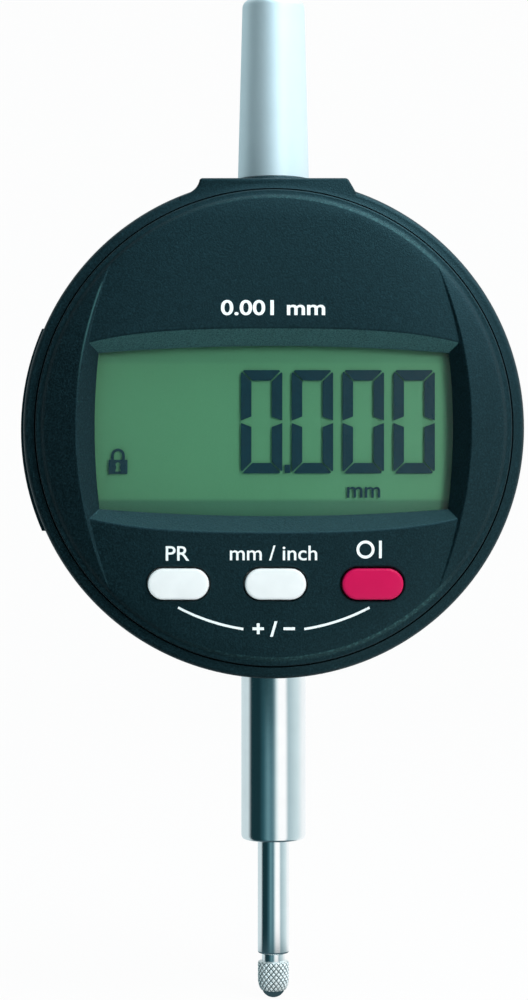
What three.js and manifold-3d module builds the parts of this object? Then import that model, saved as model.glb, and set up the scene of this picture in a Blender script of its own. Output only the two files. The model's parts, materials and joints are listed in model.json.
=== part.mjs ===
// A digital dial indicator: a round body with a turning display, a clamping stem, and a spring-loaded
// spindle that carries the contact point. Lengths are millimetres and +Z is up, along the spindle. The
// display faces -Y. The origin is on the spindle's axis, half way along the stem's open length.
// Inside this file, places are measured from the body's centre: "front" is the distance towards the
// viewer from the spindle's axis, and "height" is the distance up from the body's centre.
import * as THREE from "three";
import { mergeVertices } from "three/addons/utils/BufferGeometryUtils.js";
import Module from "manifold-3d";

// Body
const bodyRadius = 30;
const wallThickness = 1.8;
const rimWidth = 1.4;
const rimRounding = 0.8;
const rimRoundingSteps = 3;
const boreStep = 0.8;
const ledgeStep = 1.2;
const ledgeThickness = 1.0;
const rearEdgeChamfer = 0.5;

// Boss on top of the body, which the cap stands on
const bossHalfWidth = 8.85;
const bossFootHalfWidth = 9.9;
const bossFootDrop = 1.9;

// Stem and spindle
const stemDiameter = 8;
const stemExposed = 20.6;
const stemChamfer = 0.4;
const stemThreadWall = 0.4;
const spindleDiameter = 3.9;
const spindleExposed = 14.1;
const spindleChamfer = 0.25;
const spindleTravel = 12.5;
const bushWall = 0.5;
const lowerBushLength = 13;
const wiperThickness = 0.6;
const capHeight = 22.3;
const capBottomDiameter = 8.8;
const capTopDiameter = 7.7;
const capWall = 1.1;
const capRoundingRadius = 1.0;
const capThreadLength = 5.4;
const capHeadroom = 4.4;
const collarDiameter = 10.3;
const collarHeight = 1.0;
const collarChamfer = 0.25;

// Contact point, screwed into the spindle's end
const pointNeckDiameter = 2.86;
const pointNeckLength = 1.1;
const pointBarrelDiameter = 3.86;
const pointBarrelLength = 3.1;
const pointShoulder = 0.35;
const pointNoseLength = 0.45;
const pointNoseDiameter = 3.3;
const pointBallDiameter = 3.0;
const pointBallShowing = 0.9;
const pointThreadDiameter = 2.0;
const pointThreadLength = 4.5;
const knurlDepth = 0.17;
const knurlRows = 8;
const knurlColumns = 32;

// Chassis, with a block at each end that holds the stem and the upper bush
const chassisThickness = 1.5;
const blockSideWall = 3.5;
const blockFrontWall = 1.4;
const blockHeight = 5.2;
const postRadius = 1.6;
const postInset = 2.45;
const stopHalfAngle = THREE.MathUtils.degToRad(9.4);
const stopLugHalfAngle = THREE.MathUtils.degToRad(30);

// Carrier clamped on the spindle, with the scale that the sensor reads
const damperThickness = 1.2;
const stopCollarLength = 3.0;
const stopCollarWall = 2.0;
const carrierHalfWidth = 4.2;
const carrierFrontWall = 0.95;
const carrierRearWall = 1.45;
const carrierGuideReach = 2.2;
const scaleThickness = 0.9;
const scaleMargin = 0.6;
const readingGap = 0.4;
const guidePinDiameter = 1.4;
const guidePinRise = 10;
const guidePinDepth = 1.0;

// Return spring round the spindle
const springWireDiameter = 0.45;
const springMeanDiameter = 6.0;
const springCurls = 9;
const springSolidLength = 5.5;

// Boards
const boardThickness = 1.0;
const boardSideGap = 0.63;
const boardEndRise = 0.5;
const boardScrewHead = 0.6;
const boardScrewHeadDiameter = 2.6;
const boardScrewDiameter = 1.2;
const boardScrewLength = 4;
const boardStandoff = 0.6;
const chipSize = 7;
const chipThickness = 0.8;

// Display stack, from the board to the window
const contactStripHeight = 1.5;
const contactStripWidth = 1.6;
const panelThickness = 2.0;
const panelRowClearance = 7.65;
const panelDrop = 0.4;
const panelFrameWall = 0.7;
const windowThickness = 1.1;
const windowLip = 0.1;
const windowBorder = 0.5;
const skirtWall = 1.3;
const skirtReach = 1.1;

// Front cover: two raised side wings round a sunk middle strip that holds the window and the buttons
const windowEndInset = 1.22;
const windowBow = 0.84;
const sideArcRadius = 81;
const recessEdgeDepth = 0.5;
const bevelWidth = 1.05;
const bevelHeight = 1.1;
const coverStand = 0.2;
const panelCrownRadius = 203;
const wingCrownRadius = 69;

// Ring and seal that hold the display unit in the body
const circlipThickness = 0.5;
const circlipGrooveDepth = 0.6;
const circlipGapAngle = THREE.MathUtils.degToRad(24);
const sealDiameter = 1.0;
const sealGrooveDepth = 1.0;

// Buttons
const buttonWidth = 7.25;
const buttonHeight = 3.82;
const buttonEndInset = 5.41;
const buttonRowOffset = 0.2;
const buttonRowInset = 6.55;
const buttonStand = 0.75;
const buttonRounding = 0.35;
const buttonLip = 0.6;
const buttonLipThickness = 0.6;
const buttonPlungerDiameter = 3.0;
const buttonTravel = 0.5;
const domeDiameter = 4.4;
const domeHeight = 0.45;
const keypadThickness = 0.55;
const keypadMargin = 0.9;

// Battery drawer in the left side of the body
const batteryDiameter = 20;
const batteryThickness = 3.2;
const batteryEdge = 0.4;
const drawerFloor = 1.0;
const drawerRimDrop = 0.5;
const drawerWall = 1.2;
const drawerFlange = 0.9;
const drawerStand = 1.0;
const drawerFrontThickness = 2.2;
const drawerFrontRise = 4.5;
const drawerMouthMargin = 0.35;
const drawerGripDepth = 0.7;
const drawerGripHeight = 12;
const drawerGripWidth = 1.4;
const guideRailHeight = 3.6;
const guideRailThickness = 0.9;
const contactThickness = 0.3;
const contactWidth = 3.2;
const contactReach = 7;
const contactFoot = 2.4;

// Rear cover and its screws
const rearCoverThickness = 1.6;
const rearCoverInset = 0.5;
const rearSpigot = 0.3;
const rearScrewDiameter = 1.9;
const rearScrewHeadDiameter = 3.8;
const rearScrewHeadHeight = 1.0;
const rearScrewLength = 7.4;
const rearScrewSocketDepth = 0.5;
const rearScrewSocketDiameter = 1.5;
const rearScrewSink = 0.1;
const screwPostRadius = 2.4;
const screwPostInset = 2.0;
const screwPostHeight = 7.0;

// Clearances
const turnGap = 0.2;
const slideGap = 0.1;
const pressGap = 0.05;
const fitGap = 0.3;
const overrun = 2;
const weldTolerance = 0.0001;

// Faces round each kind of round piece
const bodySides = 48;
const shaftSides = 24;
const smallSides = 12;
const crownSteps = 5;
const arcSteps = 6;
const roundingSteps = 4;
const wireSides = 5;
const stepsPerCurl = 8;
const sealSides = 6;
const socketSides = 6;

// Radii across the body, from the rim inwards
const openingRadius = bodyRadius - rimWidth;
const coverRadius = openingRadius - turnGap;
const boreRadius = openingRadius - boreStep;
const skirtRadius = boreRadius - turnGap;
const ledgeRadius = boreRadius - ledgeStep;
const skirtLowerRadius = ledgeRadius - turnGap;
const cavityRadius = skirtLowerRadius - skirtWall;
const innerRadius = bodyRadius - wallThickness;
const chassisRadius = innerRadius - fitGap;
const bevelRadius = coverRadius - bevelWidth;
const buttonRowDrop = cavityRadius - buttonRowInset;
const buttonPitch = Math.sqrt(cavityRadius ** 2 - buttonRowDrop ** 2) - buttonEndInset;

// Radii round the spindle, from its axis outwards
const spindleRadius = spindleDiameter / 2;
const bushBore = spindleRadius + slideGap;
const bushRadius = bushBore + bushWall;
const stemBore = bushRadius + pressGap;
const stemThreadRadius = stemBore + stemThreadWall;
const stemRadius = stemDiameter / 2;
const clampBore = spindleRadius + pressGap;
const blockHalfWidth = stemThreadRadius + blockSideWall;

// Front distances of the layers, from the scale to the rim
const carrierFront = spindleRadius + carrierFrontWall;
const carrierBack = -(spindleRadius + carrierRearWall);
const scaleFront = carrierFront + scaleThickness;
const boardBack = scaleFront + readingGap;
const boardFront = boardBack + boardThickness;
const displayBoardBack = boardFront + boardScrewHead + boardStandoff;
const displayBoardFront = displayBoardBack + boardThickness;
const panelBack = displayBoardFront + contactStripHeight;
const panelFront = panelBack + panelThickness;
const windowFront = panelFront + windowThickness;
const recessFloor = windowFront + windowLip;
const coverEdgeFront = recessFloor + recessEdgeDepth;
const coverRimFront = coverEdgeFront - bevelHeight;
const rimFront = coverRimFront - coverStand;
const skirtBack = displayBoardBack - skirtReach;
const chassisFront = carrierBack - carrierGuideReach;
const chassisBack = chassisFront - chassisThickness;
const housingBack = chassisBack - rearSpigot;
const rearCoverBack = housingBack - rearCoverThickness;
const blockFront = stemThreadRadius + blockFrontWall;

// Heights along the spindle
const blockSeat = Math.sqrt(chassisRadius ** 2 - blockHalfWidth ** 2);
const blockInnerFace = blockSeat - blockHeight;
const stemEnd = -(bodyRadius + stemExposed);
const spindleEnd = stemEnd - spindleExposed;
const collarTop = bodyRadius + collarHeight;
const capTop = collarTop + capHeight;
const spindleTop = capTop - capWall - capHeadroom - spindleTravel;
const damperTop = damperThickness - blockInnerFace;
const stopCollarBottom = damperTop + fitGap;
const carrierBottom = stopCollarBottom + stopCollarLength;
const carrierTop = blockInnerFace - springSolidLength - spindleTravel;

const wasm = await Module();
wasm.setup();

// A closed mesh geometry as a solid, with its faces turned out if its outline ran the other way round.
function solidOf(geometry) {
  const bare = new THREE.BufferGeometry();
  bare.setAttribute("position", geometry.getAttribute("position"));
  bare.setIndex(geometry.getIndex());
  const welded = mergeVertices(bare, weldTolerance);
  const corners = [...welded.getIndex().array];
  const faces = [];
  for (let i = 0; i < corners.length; i += 3) {
    const [a, b, c] = corners.slice(i, i + 3);
    if (a !== b && b !== c && c !== a) faces.push(a, b, c);
  }
  const points = new Float32Array(welded.getAttribute("position").array);
  const made = solidFrom(points, faces);
  return made.volume() > 0 ? made : solidFrom(points, faces.reverse());
}

function solidFrom(vertProperties, faces) {
  const mesh = new wasm.Mesh({ numProp: 3, vertProperties, triVerts: new Uint32Array(faces) });
  return new wasm.Manifold(mesh);
}

function geometryOf(solid) {
  const mesh = solid.getMesh();
  const geometry = new THREE.BufferGeometry();
  geometry.setAttribute("position", new THREE.BufferAttribute(mesh.vertProperties, 3));
  geometry.setIndex(new THREE.BufferAttribute(mesh.triVerts, 1));
  geometry.computeVertexNormals();
  return geometry;
}

// Joins and cuts solids.
const joined = (first, ...rest) => rest.reduce((whole, solid) => whole.add(solid), first);
const cut = (first, ...tools) => tools.reduce((whole, solid) => whole.subtract(solid), first);

// A profile closes on itself unless it starts and ends on the axis.
function closedProfile(profile) {
  return profile[0][0] > 0 ? [...profile, profile[0]] : profile;
}

// Turned round the display's axis: the profile holds [radius, front].
function turnedOnFace(profile, sides = bodySides) {
  const points = closedProfile(profile).map(([radius, front]) => new THREE.Vector2(radius, -front));
  return solidOf(new THREE.LatheGeometry(points, sides));
}

// Turned round the spindle's axis: the profile holds [radius, height].
function turnedOnSpindle(profile, sides = shaftSides) {
  const points = closedProfile(profile).map(([radius, height]) => new THREE.Vector2(radius, height));
  return solidOf(new THREE.LatheGeometry(points, sides).rotateX(Math.PI / 2));
}

// A round bar on the display's axis or the spindle's, and a bar from back to front at any place.
function disc(radius, back, front, sides = bodySides) {
  return turnedOnFace([[0, back], [radius, back], [radius, front], [0, front]], sides);
}

function shaft(radius, bottom, top, sides = shaftSides) {
  return turnedOnSpindle([[0, bottom], [radius, bottom], [radius, top], [0, top]], sides);
}

function sleeve(bore, radius, bottom, top) {
  return turnedOnSpindle([[bore, bottom], [radius, bottom], [radius, top], [bore, top]]);
}

function peg(radius, across, height, back, front, sides = smallSides) {
  return disc(radius, back, front, sides).translate([across, 0, height]);
}

// A box between its six faces.
function block({ left, right, back, front, bottom, top }) {
  const box = new THREE.BoxGeometry(right - left, front - back, top - bottom);
  return solidOf(box.translate((left + right) / 2, -(back + front) / 2, (bottom + top) / 2));
}

// An outline drawn as the viewer sees it, made solid from back to front.
function plate(outline, back, front) {
  const shape = new THREE.ExtrudeGeometry(outline, {
    depth: front - back,
    bevelEnabled: false,
    curveSegments: arcSteps,
  });
  return solidOf(shape.rotateX(Math.PI / 2).translate(0, -back, 0));
}

function rectangle(left, right, bottom, top) {
  const outline = new THREE.Shape();
  outline.moveTo(left, bottom);
  outline.lineTo(right, bottom);
  outline.lineTo(right, top);
  outline.lineTo(left, top);
  return outline;
}

// A slot outline with round ends.
function stadium(width, height, across, up) {
  const radius = height / 2;
  const reach = width / 2 - radius;
  const outline = new THREE.Shape();
  outline.moveTo(across - reach, up - radius);
  outline.absarc(across + reach, up, radius, -Math.PI / 2, Math.PI / 2, false);
  outline.absarc(across - reach, up, radius, Math.PI / 2, (3 * Math.PI) / 2, false);
  return outline;
}

// A part of a flat ring, between two angles measured from the viewer's right.
function sector(inner, outer, from, to) {
  const outline = new THREE.Shape();
  outline.moveTo(inner * Math.cos(from), inner * Math.sin(from));
  outline.absarc(0, 0, outer, from, to, false);
  outline.absarc(0, 0, inner, to, from, true);
  return outline;
}

// Straight sides between two outlines with as many points, [across, height] each.
function loft(rear, back, face, front) {
  const count = rear.length;
  const points = [];
  for (const [across, height] of rear) points.push(across, -back, height);
  for (const [across, height] of face) points.push(across, -front, height);
  points.push(0, -back, 0, 0, -front, 0);
  const faces = [];
  for (let i = 0; i < count; i += 1) {
    const next = (i + 1) % count;
    faces.push(i, next, count + i, next, count + next, count + i);
    faces.push(2 * count, next, i, 2 * count + 1, count + i, count + next);
  }
  const geometry = new THREE.BufferGeometry();
  geometry.setAttribute("position", new THREE.Float32BufferAttribute(points, 3));
  geometry.setIndex(faces);
  return solidOf(geometry);
}

// A round tube through points, with its seam on the side away from the spindle.
function tubeThrough(points, radius, sides) {
  const positions = [];
  const faces = [];
  points.forEach((point, i) => {
    const before = points[Math.max(i - 1, 0)];
    const after = points[Math.min(i + 1, points.length - 1)];
    const along = after.clone().sub(before).normalize();
    const outward = new THREE.Vector3(point.x, point.y, 0).normalize();
    outward.addScaledVector(along, -outward.dot(along)).normalize();
    const sideways = along.clone().cross(outward);
    for (let k = 0; k < sides; k += 1) {
      const turn = (2 * Math.PI * k) / sides;
      const corner = point.clone();
      corner.addScaledVector(outward, radius * Math.cos(turn));
      corner.addScaledVector(sideways, radius * Math.sin(turn));
      positions.push(...corner);
    }
  });
  const lastRing = (points.length - 1) * sides;
  for (let i = 0; i < lastRing; i += sides) {
    for (let k = 0; k < sides; k += 1) {
      const next = (k + 1) % sides;
      faces.push(i + k, i + next, i + sides + k, i + next, i + sides + next, i + sides + k);
    }
  }
  for (let k = 1; k < sides - 1; k += 1) {
    faces.push(0, k + 1, k, lastRing, lastRing + k, lastRing + k + 1);
  }
  const geometry = new THREE.BufferGeometry();
  geometry.setAttribute("position", new THREE.Float32BufferAttribute(positions, 3));
  geometry.setIndex(faces);
  return solidOf(geometry);
}

const assembly = new THREE.Group();
assembly.position.z = bodyRadius + stemExposed / 2;

function finish(color, roughness, metalness) {
  return new THREE.MeshStandardMaterial({ color, roughness, metalness });
}

const blackPlastic = finish(0x1b2f33, 0.62, 0.0);
const wingPlastic = finish(0x16262a, 0.62, 0.0);
const satinAluminium = finish(0xc9d0d4, 0.42, 0.9);
const groundSteel = finish(0xd2d4d2, 0.2, 1.0);
const hardBall = finish(0xb9b6ae, 0.15, 1.0);
const castMetal = finish(0xa7abab, 0.55, 0.8);
const bronze = finish(0xb08a52, 0.4, 0.9);
const springSteel = finish(0xb4b8ba, 0.3, 1.0);
const clearPlate = finish(0xdfe9e6, 0.08, 0.0);
const crystalPanel = finish(0x6f9179, 0.3, 0.0);
const whitePlastic = finish(0xeef2f2, 0.45, 0.0);
const redPlastic = finish(0xc9204f, 0.4, 0.0);
const rubber = finish(0x1c1c1e, 0.85, 0.0);
const greenBoard = finish(0x1d5c3c, 0.5, 0.0);
const glassScale = finish(0x8fb0a6, 0.15, 0.1);
const blackChip = finish(0x16171a, 0.5, 0.0);

function add(name, solid, material) {
  const mesh = new THREE.Mesh(geometryOf(solid), material);
  mesh.name = name;
  assembly.add(mesh);
}

// Where the four rear screws stand, round the body.
const screwCircle = innerRadius - screwPostInset;
const screwPlaces = [1, 3, 5, 7].map((eighth) => {
  const turn = (eighth * Math.PI) / 4;
  return [screwCircle * Math.cos(turn), screwCircle * Math.sin(turn)];
});
const screwRadius = rearScrewDiameter / 2;
const screwHeadRadius = rearScrewHeadDiameter / 2;

// The sensor board lies between the screw posts, and stands on four posts of its own.
const boardHalfWidth = screwPlaces[0][0] - screwPostRadius - boardSideGap;
const boardHalfHeight = boardHalfWidth + boardEndRise;
const postSpread = boardHalfWidth - postInset;
const postHeightSpread = boardHalfHeight - postInset;

// Battery drawer, shared with its mouth in the housing
const batteryRadius = batteryDiameter / 2;
const drawerBack = chassisFront + fitGap;
const batteryBack = drawerBack + drawerFloor;
const batteryFront = batteryBack + batteryThickness;
const drawerHalfHeight = batteryRadius + fitGap + drawerWall;
const drawerFrontHalfHeight = drawerHalfHeight + drawerFlange;
const drawerFrontFace = batteryFront + drawerFrontRise;
const batteryAcross = -(innerRadius - drawerWall - fitGap - batteryRadius);

// Housing: a ring open at front and rear, with a ledge that the display unit turns on.
const ledgeFront = skirtBack + circlipThickness + 2 * fitGap + circlipGrooveDepth + ledgeThickness;
const ledgeBack = ledgeFront - ledgeThickness;
const flangeBack = rimFront - ledgeThickness;
const flangeSeat = flangeBack - fitGap;

function bossOutline() {
  const foot = bodyRadius - bossFootDrop;
  const outline = new THREE.Shape();
  outline.moveTo(-bossFootHalfWidth, foot);
  outline.quadraticCurveTo(-bossHalfWidth, foot, -bossHalfWidth, bodyRadius);
  outline.lineTo(bossHalfWidth, bodyRadius);
  outline.lineTo(bossFootHalfWidth, foot);
  outline.lineTo(bossFootHalfWidth, foot - wallThickness);
  outline.lineTo(-bossFootHalfWidth, foot - wallThickness);
  return outline;
}

// The rounded edge between the body's side and its rim.
function roundedRim() {
  const points = [];
  for (let i = 0; i <= rimRoundingSteps; i += 1) {
    const turn = (Math.PI * i) / (2 * rimRoundingSteps);
    const radius = bodyRadius - rimRounding * (1 - Math.cos(turn));
    points.push([radius, rimFront - rimRounding * (1 - Math.sin(turn))]);
  }
  return points;
}

function housing() {
  const shell = turnedOnFace([
    [0, housingBack],
    [bodyRadius, housingBack],
    ...roundedRim(),
    [0, rimFront],
  ]);
  const hollow = turnedOnFace([
    [0, housingBack - overrun],
    [innerRadius, housingBack - overrun],
    [innerRadius, ledgeBack],
    [ledgeRadius, ledgeBack],
    [ledgeRadius, ledgeFront],
    [boreRadius, ledgeFront],
    [boreRadius, flangeSeat],
    [openingRadius, flangeSeat],
    [openingRadius, rimFront + overrun],
    [0, rimFront + overrun],
  ]);
  const boss = plate(bossOutline(), housingBack, rimFront);
  const postFront = chassisFront + screwPostHeight;
  const posts = screwPlaces.map(([across, height]) =>
    peg(screwPostRadius, across, height, chassisFront, postFront),
  );
  const threads = screwPlaces.map(([across, height]) =>
    peg(screwRadius + slideGap, across, height, chassisFront - overrun, postFront + overrun),
  );
  const mouth = block({
    left: -bodyRadius - overrun,
    right: batteryAcross,
    back: drawerBack - fitGap,
    front: drawerFrontFace + drawerMouthMargin,
    bottom: -drawerFrontHalfHeight - drawerMouthMargin,
    top: drawerFrontHalfHeight + drawerMouthMargin,
  });
  const stemHole = shaft(stemRadius + slideGap, -bodyRadius - overrun, -innerRadius + overrun);
  const bushHole = shaft(stemThreadRadius + slideGap, innerRadius - overrun, bodyRadius + overrun);
  return cut(joined(cut(shell.add(boss), hollow), ...posts), ...threads, mouth, stemHole, bushHole);
}

// Front cover: a turned shell with a crowned face, sunk between the wings to a flatter strip.
function crown(radius, crownRadius) {
  const edge = Math.sqrt(crownRadius ** 2 - bevelRadius ** 2);
  return coverEdgeFront + Math.sqrt(crownRadius ** 2 - radius ** 2) - edge;
}

function crownProfile(crownRadius) {
  const points = [];
  for (let i = 0; i <= crownSteps; i += 1) {
    const radius = bevelRadius * (1 - i / crownSteps);
    points.push([radius, crown(radius, crownRadius)]);
  }
  return points;
}

// The panel reaches down to its clearance from the button row, and as far up from its own middle.
const panelLow = panelRowClearance - buttonRowDrop;
const panelHalfHeight = -panelDrop - panelLow;
const windowCornerHalfHeight = panelHalfHeight - windowEndInset;
const panelReach = Math.sqrt((cavityRadius - panelFrameWall) ** 2 - panelLow ** 2);
const sideReach = panelReach - windowBorder;

// The flares of the strip and of the window's band run on past the crown of the wings.
const flareReach = crown(0, wingCrownRadius) - recessFloor + overrun;

// Half width of the sunk strip at a height: its sides are shallow arcs.
function stripHalfWidth(height) {
  return sideReach - sideArcRadius + Math.sqrt(sideArcRadius ** 2 - height ** 2);
}

const windowBowReach = stripHalfWidth(windowCornerHalfHeight);

// The strip's outline, opened out by the flare of its sides.
function stripOutline(flare) {
  const right = [];
  for (let i = -arcSteps; i <= arcSteps; i += 1) {
    const height = (coverRadius * i) / arcSteps;
    right.push([stripHalfWidth(height) + flare, height]);
  }
  const left = right.map(([across, height]) => [-across, height]).reverse();
  return [...right, ...left];
}

// The band between the window's bowed upper and lower edges, opened out by their flare.
function bandOutline(flare) {
  const upper = [];
  for (let i = arcSteps; i >= -arcSteps; i -= 1) {
    const across = (coverRadius * i) / arcSteps;
    const bow = windowBow * (1 - (across / windowBowReach) ** 2);
    upper.push([across, windowCornerHalfHeight + bow + flare]);
  }
  const lower = upper.map(([across, height]) => [across, -height]).reverse();
  return [...upper, ...lower];
}

function stripPrism() {
  return loft(stripOutline(0), recessFloor, stripOutline(flareReach), recessFloor + flareReach);
}

function bandPrism() {
  const band = loft(bandOutline(0), recessFloor, bandOutline(flareReach), recessFloor + flareReach);
  return band.translate([0, 0, -panelDrop]);
}

const buttonPlaces = [-1, 0, 1].map((place) => buttonRowOffset + place * buttonPitch);
const sealCentreFront = (flangeBack + ledgeFront) / 2;
const sealRadius = sealDiameter / 2;
const circlipBack = ledgeBack - fitGap - circlipThickness;

// The straight-walled hole that the window shows through.
function windowOpening() {
  const low = windowFront - overrun;
  const high = recessFloor + slideGap;
  const strip = loft(stripOutline(0), low, stripOutline(0), high);
  const band = loft(bandOutline(0), low, bandOutline(0), high).translate([0, 0, -panelDrop]);
  return strip.intersect(band);
}

function frontCover() {
  const grooveFloor = skirtLowerRadius - circlipGrooveDepth;
  const sealFloor = skirtRadius - sealGrooveDepth;
  const body = turnedOnFace([
    [0, panelFront],
    [cavityRadius, panelFront],
    [cavityRadius, skirtBack],
    [skirtLowerRadius, skirtBack],
    [skirtLowerRadius, circlipBack - slideGap],
    [grooveFloor, circlipBack - slideGap],
    [grooveFloor, ledgeBack - turnGap],
    [skirtLowerRadius, ledgeBack - turnGap],
    [skirtLowerRadius, ledgeFront + turnGap],
    [skirtRadius, ledgeFront + turnGap],
    [skirtRadius, sealCentreFront - sealRadius - slideGap],
    [sealFloor, sealCentreFront - sealRadius - slideGap],
    [sealFloor, sealCentreFront + sealRadius + slideGap],
    [skirtRadius, sealCentreFront + sealRadius + slideGap],
    [skirtRadius, flangeBack],
    [coverRadius, flangeBack],
    [coverRadius, coverRimFront],
    ...crownProfile(wingCrownRadius),
  ]);
  const flatterFace = turnedOnFace([
    [0, panelFront - overrun],
    [coverRadius + overrun, panelFront - overrun],
    [coverRadius + overrun, coverEdgeFront],
    ...crownProfile(panelCrownRadius),
  ]);
  const aboveStrip = stripPrism().subtract(flatterFace.subtract(bandPrism()));
  const windowSeat = panelPlate(panelFront - overrun, windowFront, 0);
  const holes = buttonPlaces.map((across) => {
    const outline = stadium(buttonWidth + 2 * turnGap, buttonHeight + 2 * turnGap, across, -buttonRowDrop);
    return plate(outline, panelFront - overrun, coverEdgeFront + flareReach);
  });
  const lugFrom = Math.PI / 2 - stopLugHalfAngle;
  const lugTo = Math.PI / 2 + stopLugHalfAngle;
  const lugOutline = sector(cavityRadius, skirtLowerRadius, lugFrom, lugTo);
  const lug = plate(lugOutline, blockFront + turnGap, skirtBack + pressGap);
  return cut(body.add(lug), aboveStrip, windowOpening(), windowSeat, ...holes);
}

// A plate of the panel's outline, smaller all round by a margin.
function panelPlate(back, front, margin) {
  return block({
    left: margin - panelReach,
    right: panelReach - margin,
    back,
    front,
    bottom: panelLow + margin,
    top: panelHalfHeight - panelDrop - margin,
  });
}

// The rubber strips that join the panel to its board, along its upper and lower edges.
function contactStrip(end) {
  const edge = end > 0 ? panelHalfHeight - panelDrop - contactStripWidth : panelLow + contactStripWidth;
  return block({
    left: contactStripWidth - panelReach,
    right: panelReach - contactStripWidth,
    back: displayBoardFront,
    front: panelBack,
    bottom: edge - contactStripWidth / 2,
    top: edge + contactStripWidth / 2,
  });
}

const lipHalfHeight = buttonHeight / 2 + buttonLip;
const keypadHalfWidth = buttonPitch + domeDiameter / 2 + 2 * keypadMargin;
const keypadHalfHeight = domeDiameter / 2 + keypadMargin;

// The frame round the panel stops above the buttons.
function panelFrame() {
  const body = disc(cavityRadius - turnGap, displayBoardFront, panelFront);
  const buttonRoom = block({
    left: -bodyRadius,
    right: bodyRadius,
    back: displayBoardFront - overrun,
    front: panelFront + overrun,
    bottom: -bodyRadius,
    top: -buttonRowDrop + Math.max(lipHalfHeight, keypadHalfHeight) + fitGap,
  });
  return cut(body, panelPlate(displayBoardFront - overrun, panelFront + overrun, -pressGap), buttonRoom);
}

function button(across) {
  const crownHere = crown(Math.hypot(buttonRowOffset, buttonRowDrop), panelCrownRadius);
  const top = crownHere + buttonStand;
  const lipFront = panelFront - slideGap;
  const lipBack = lipFront - buttonLipThickness;
  const inset = 2 * buttonRounding;
  const core = stadium(buttonWidth - inset, buttonHeight - inset, across, -buttonRowDrop);
  const shape = new THREE.ExtrudeGeometry(core, {
    depth: top - lipBack - inset,
    bevelThickness: buttonRounding,
    bevelSize: buttonRounding,
    bevelSegments: 2,
    curveSegments: arcSteps,
  });
  const cap = solidOf(shape.rotateX(Math.PI / 2).translate(0, -lipBack - buttonRounding, 0));
  const lipWidth = buttonWidth + 2 * buttonLip;
  const widened = stadium(lipWidth, 2 * lipHalfHeight, across, -buttonRowDrop);
  const cavity = disc(cavityRadius - turnGap, lipBack - overrun, lipFront + overrun);
  const lip = plate(widened, lipBack, lipFront).intersect(cavity);
  const foot = displayBoardFront + domeHeight + buttonTravel + slideGap;
  const plunger = peg(buttonPlungerDiameter / 2, across, -buttonRowDrop, foot, lipFront);
  return joined(cap, lip, plunger);
}

// The rubber mat round the switches, under the buttons.
function keypad() {
  const mat = block({
    left: buttonRowOffset - keypadHalfWidth,
    right: buttonRowOffset + keypadHalfWidth,
    back: displayBoardFront,
    front: displayBoardFront + keypadThickness,
    bottom: -buttonRowDrop - keypadHalfHeight,
    top: -buttonRowDrop + keypadHalfHeight,
  });
  const trimmed = mat.intersect(disc(cavityRadius - turnGap, displayBoardBack, panelFront));
  const holes = buttonPlaces.map((across) =>
    peg(domeDiameter / 2 + slideGap, across, -buttonRowDrop, displayBoardBack, panelFront),
  );
  return cut(trimmed, ...holes);
}

function domeSwitch(across) {
  const profile = [[0, displayBoardFront]];
  for (let i = 0; i <= roundingSteps; i += 1) {
    const turn = (Math.PI * i) / (2 * roundingSteps);
    const radius = i < roundingSteps ? (domeDiameter / 2) * Math.cos(turn) : 0;
    profile.push([radius, displayBoardFront + domeHeight * Math.sin(turn)]);
  }
  return turnedOnFace(profile, smallSides).translate([across, 0, -buttonRowDrop]);
}

function displaySeal() {
  const centre = skirtRadius - sealGrooveDepth + sealRadius + pressGap;
  const profile = [];
  for (let i = 0; i < sealSides; i += 1) {
    const turn = (2 * Math.PI * i) / sealSides;
    profile.push([centre + sealRadius * Math.cos(turn), sealCentreFront + sealRadius * Math.sin(turn)]);
  }
  return turnedOnFace(profile);
}

function displayCirclip() {
  const inner = skirtLowerRadius - circlipGrooveDepth + slideGap;
  const ring = turnedOnFace([
    [inner, circlipBack],
    [boreRadius, circlipBack],
    [boreRadius, circlipBack + circlipThickness],
    [inner, circlipBack + circlipThickness],
  ]);
  const gap = sector(inner - overrun, bodyRadius, -circlipGapAngle / 2, circlipGapAngle / 2);
  return ring.subtract(plate(gap, circlipBack - overrun, circlipBack + overrun));
}

// Chassis: a round plate with a block at each end, posts for the sensor board and rails for the drawer.
const boardPostPlaces = [-1, 1].flatMap((side) =>
  [-1, 1].map((end) => [side * postSpread, end * postHeightSpread]),
);
const guidePinRadius = guidePinDiameter / 2;
const guidePinHeight = carrierBottom + guidePinRise;

function guideSlot() {
  const reach = guidePinRadius + slideGap;
  const high = guidePinHeight + spindleTravel;
  const back = chassisBack - overrun;
  const front = chassisFront + overrun;
  const middle = block({ left: -reach, right: reach, back, front, bottom: guidePinHeight, top: high });
  return joined(middle, peg(reach, 0, guidePinHeight, back, front), peg(reach, 0, high, back, front));
}

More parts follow.
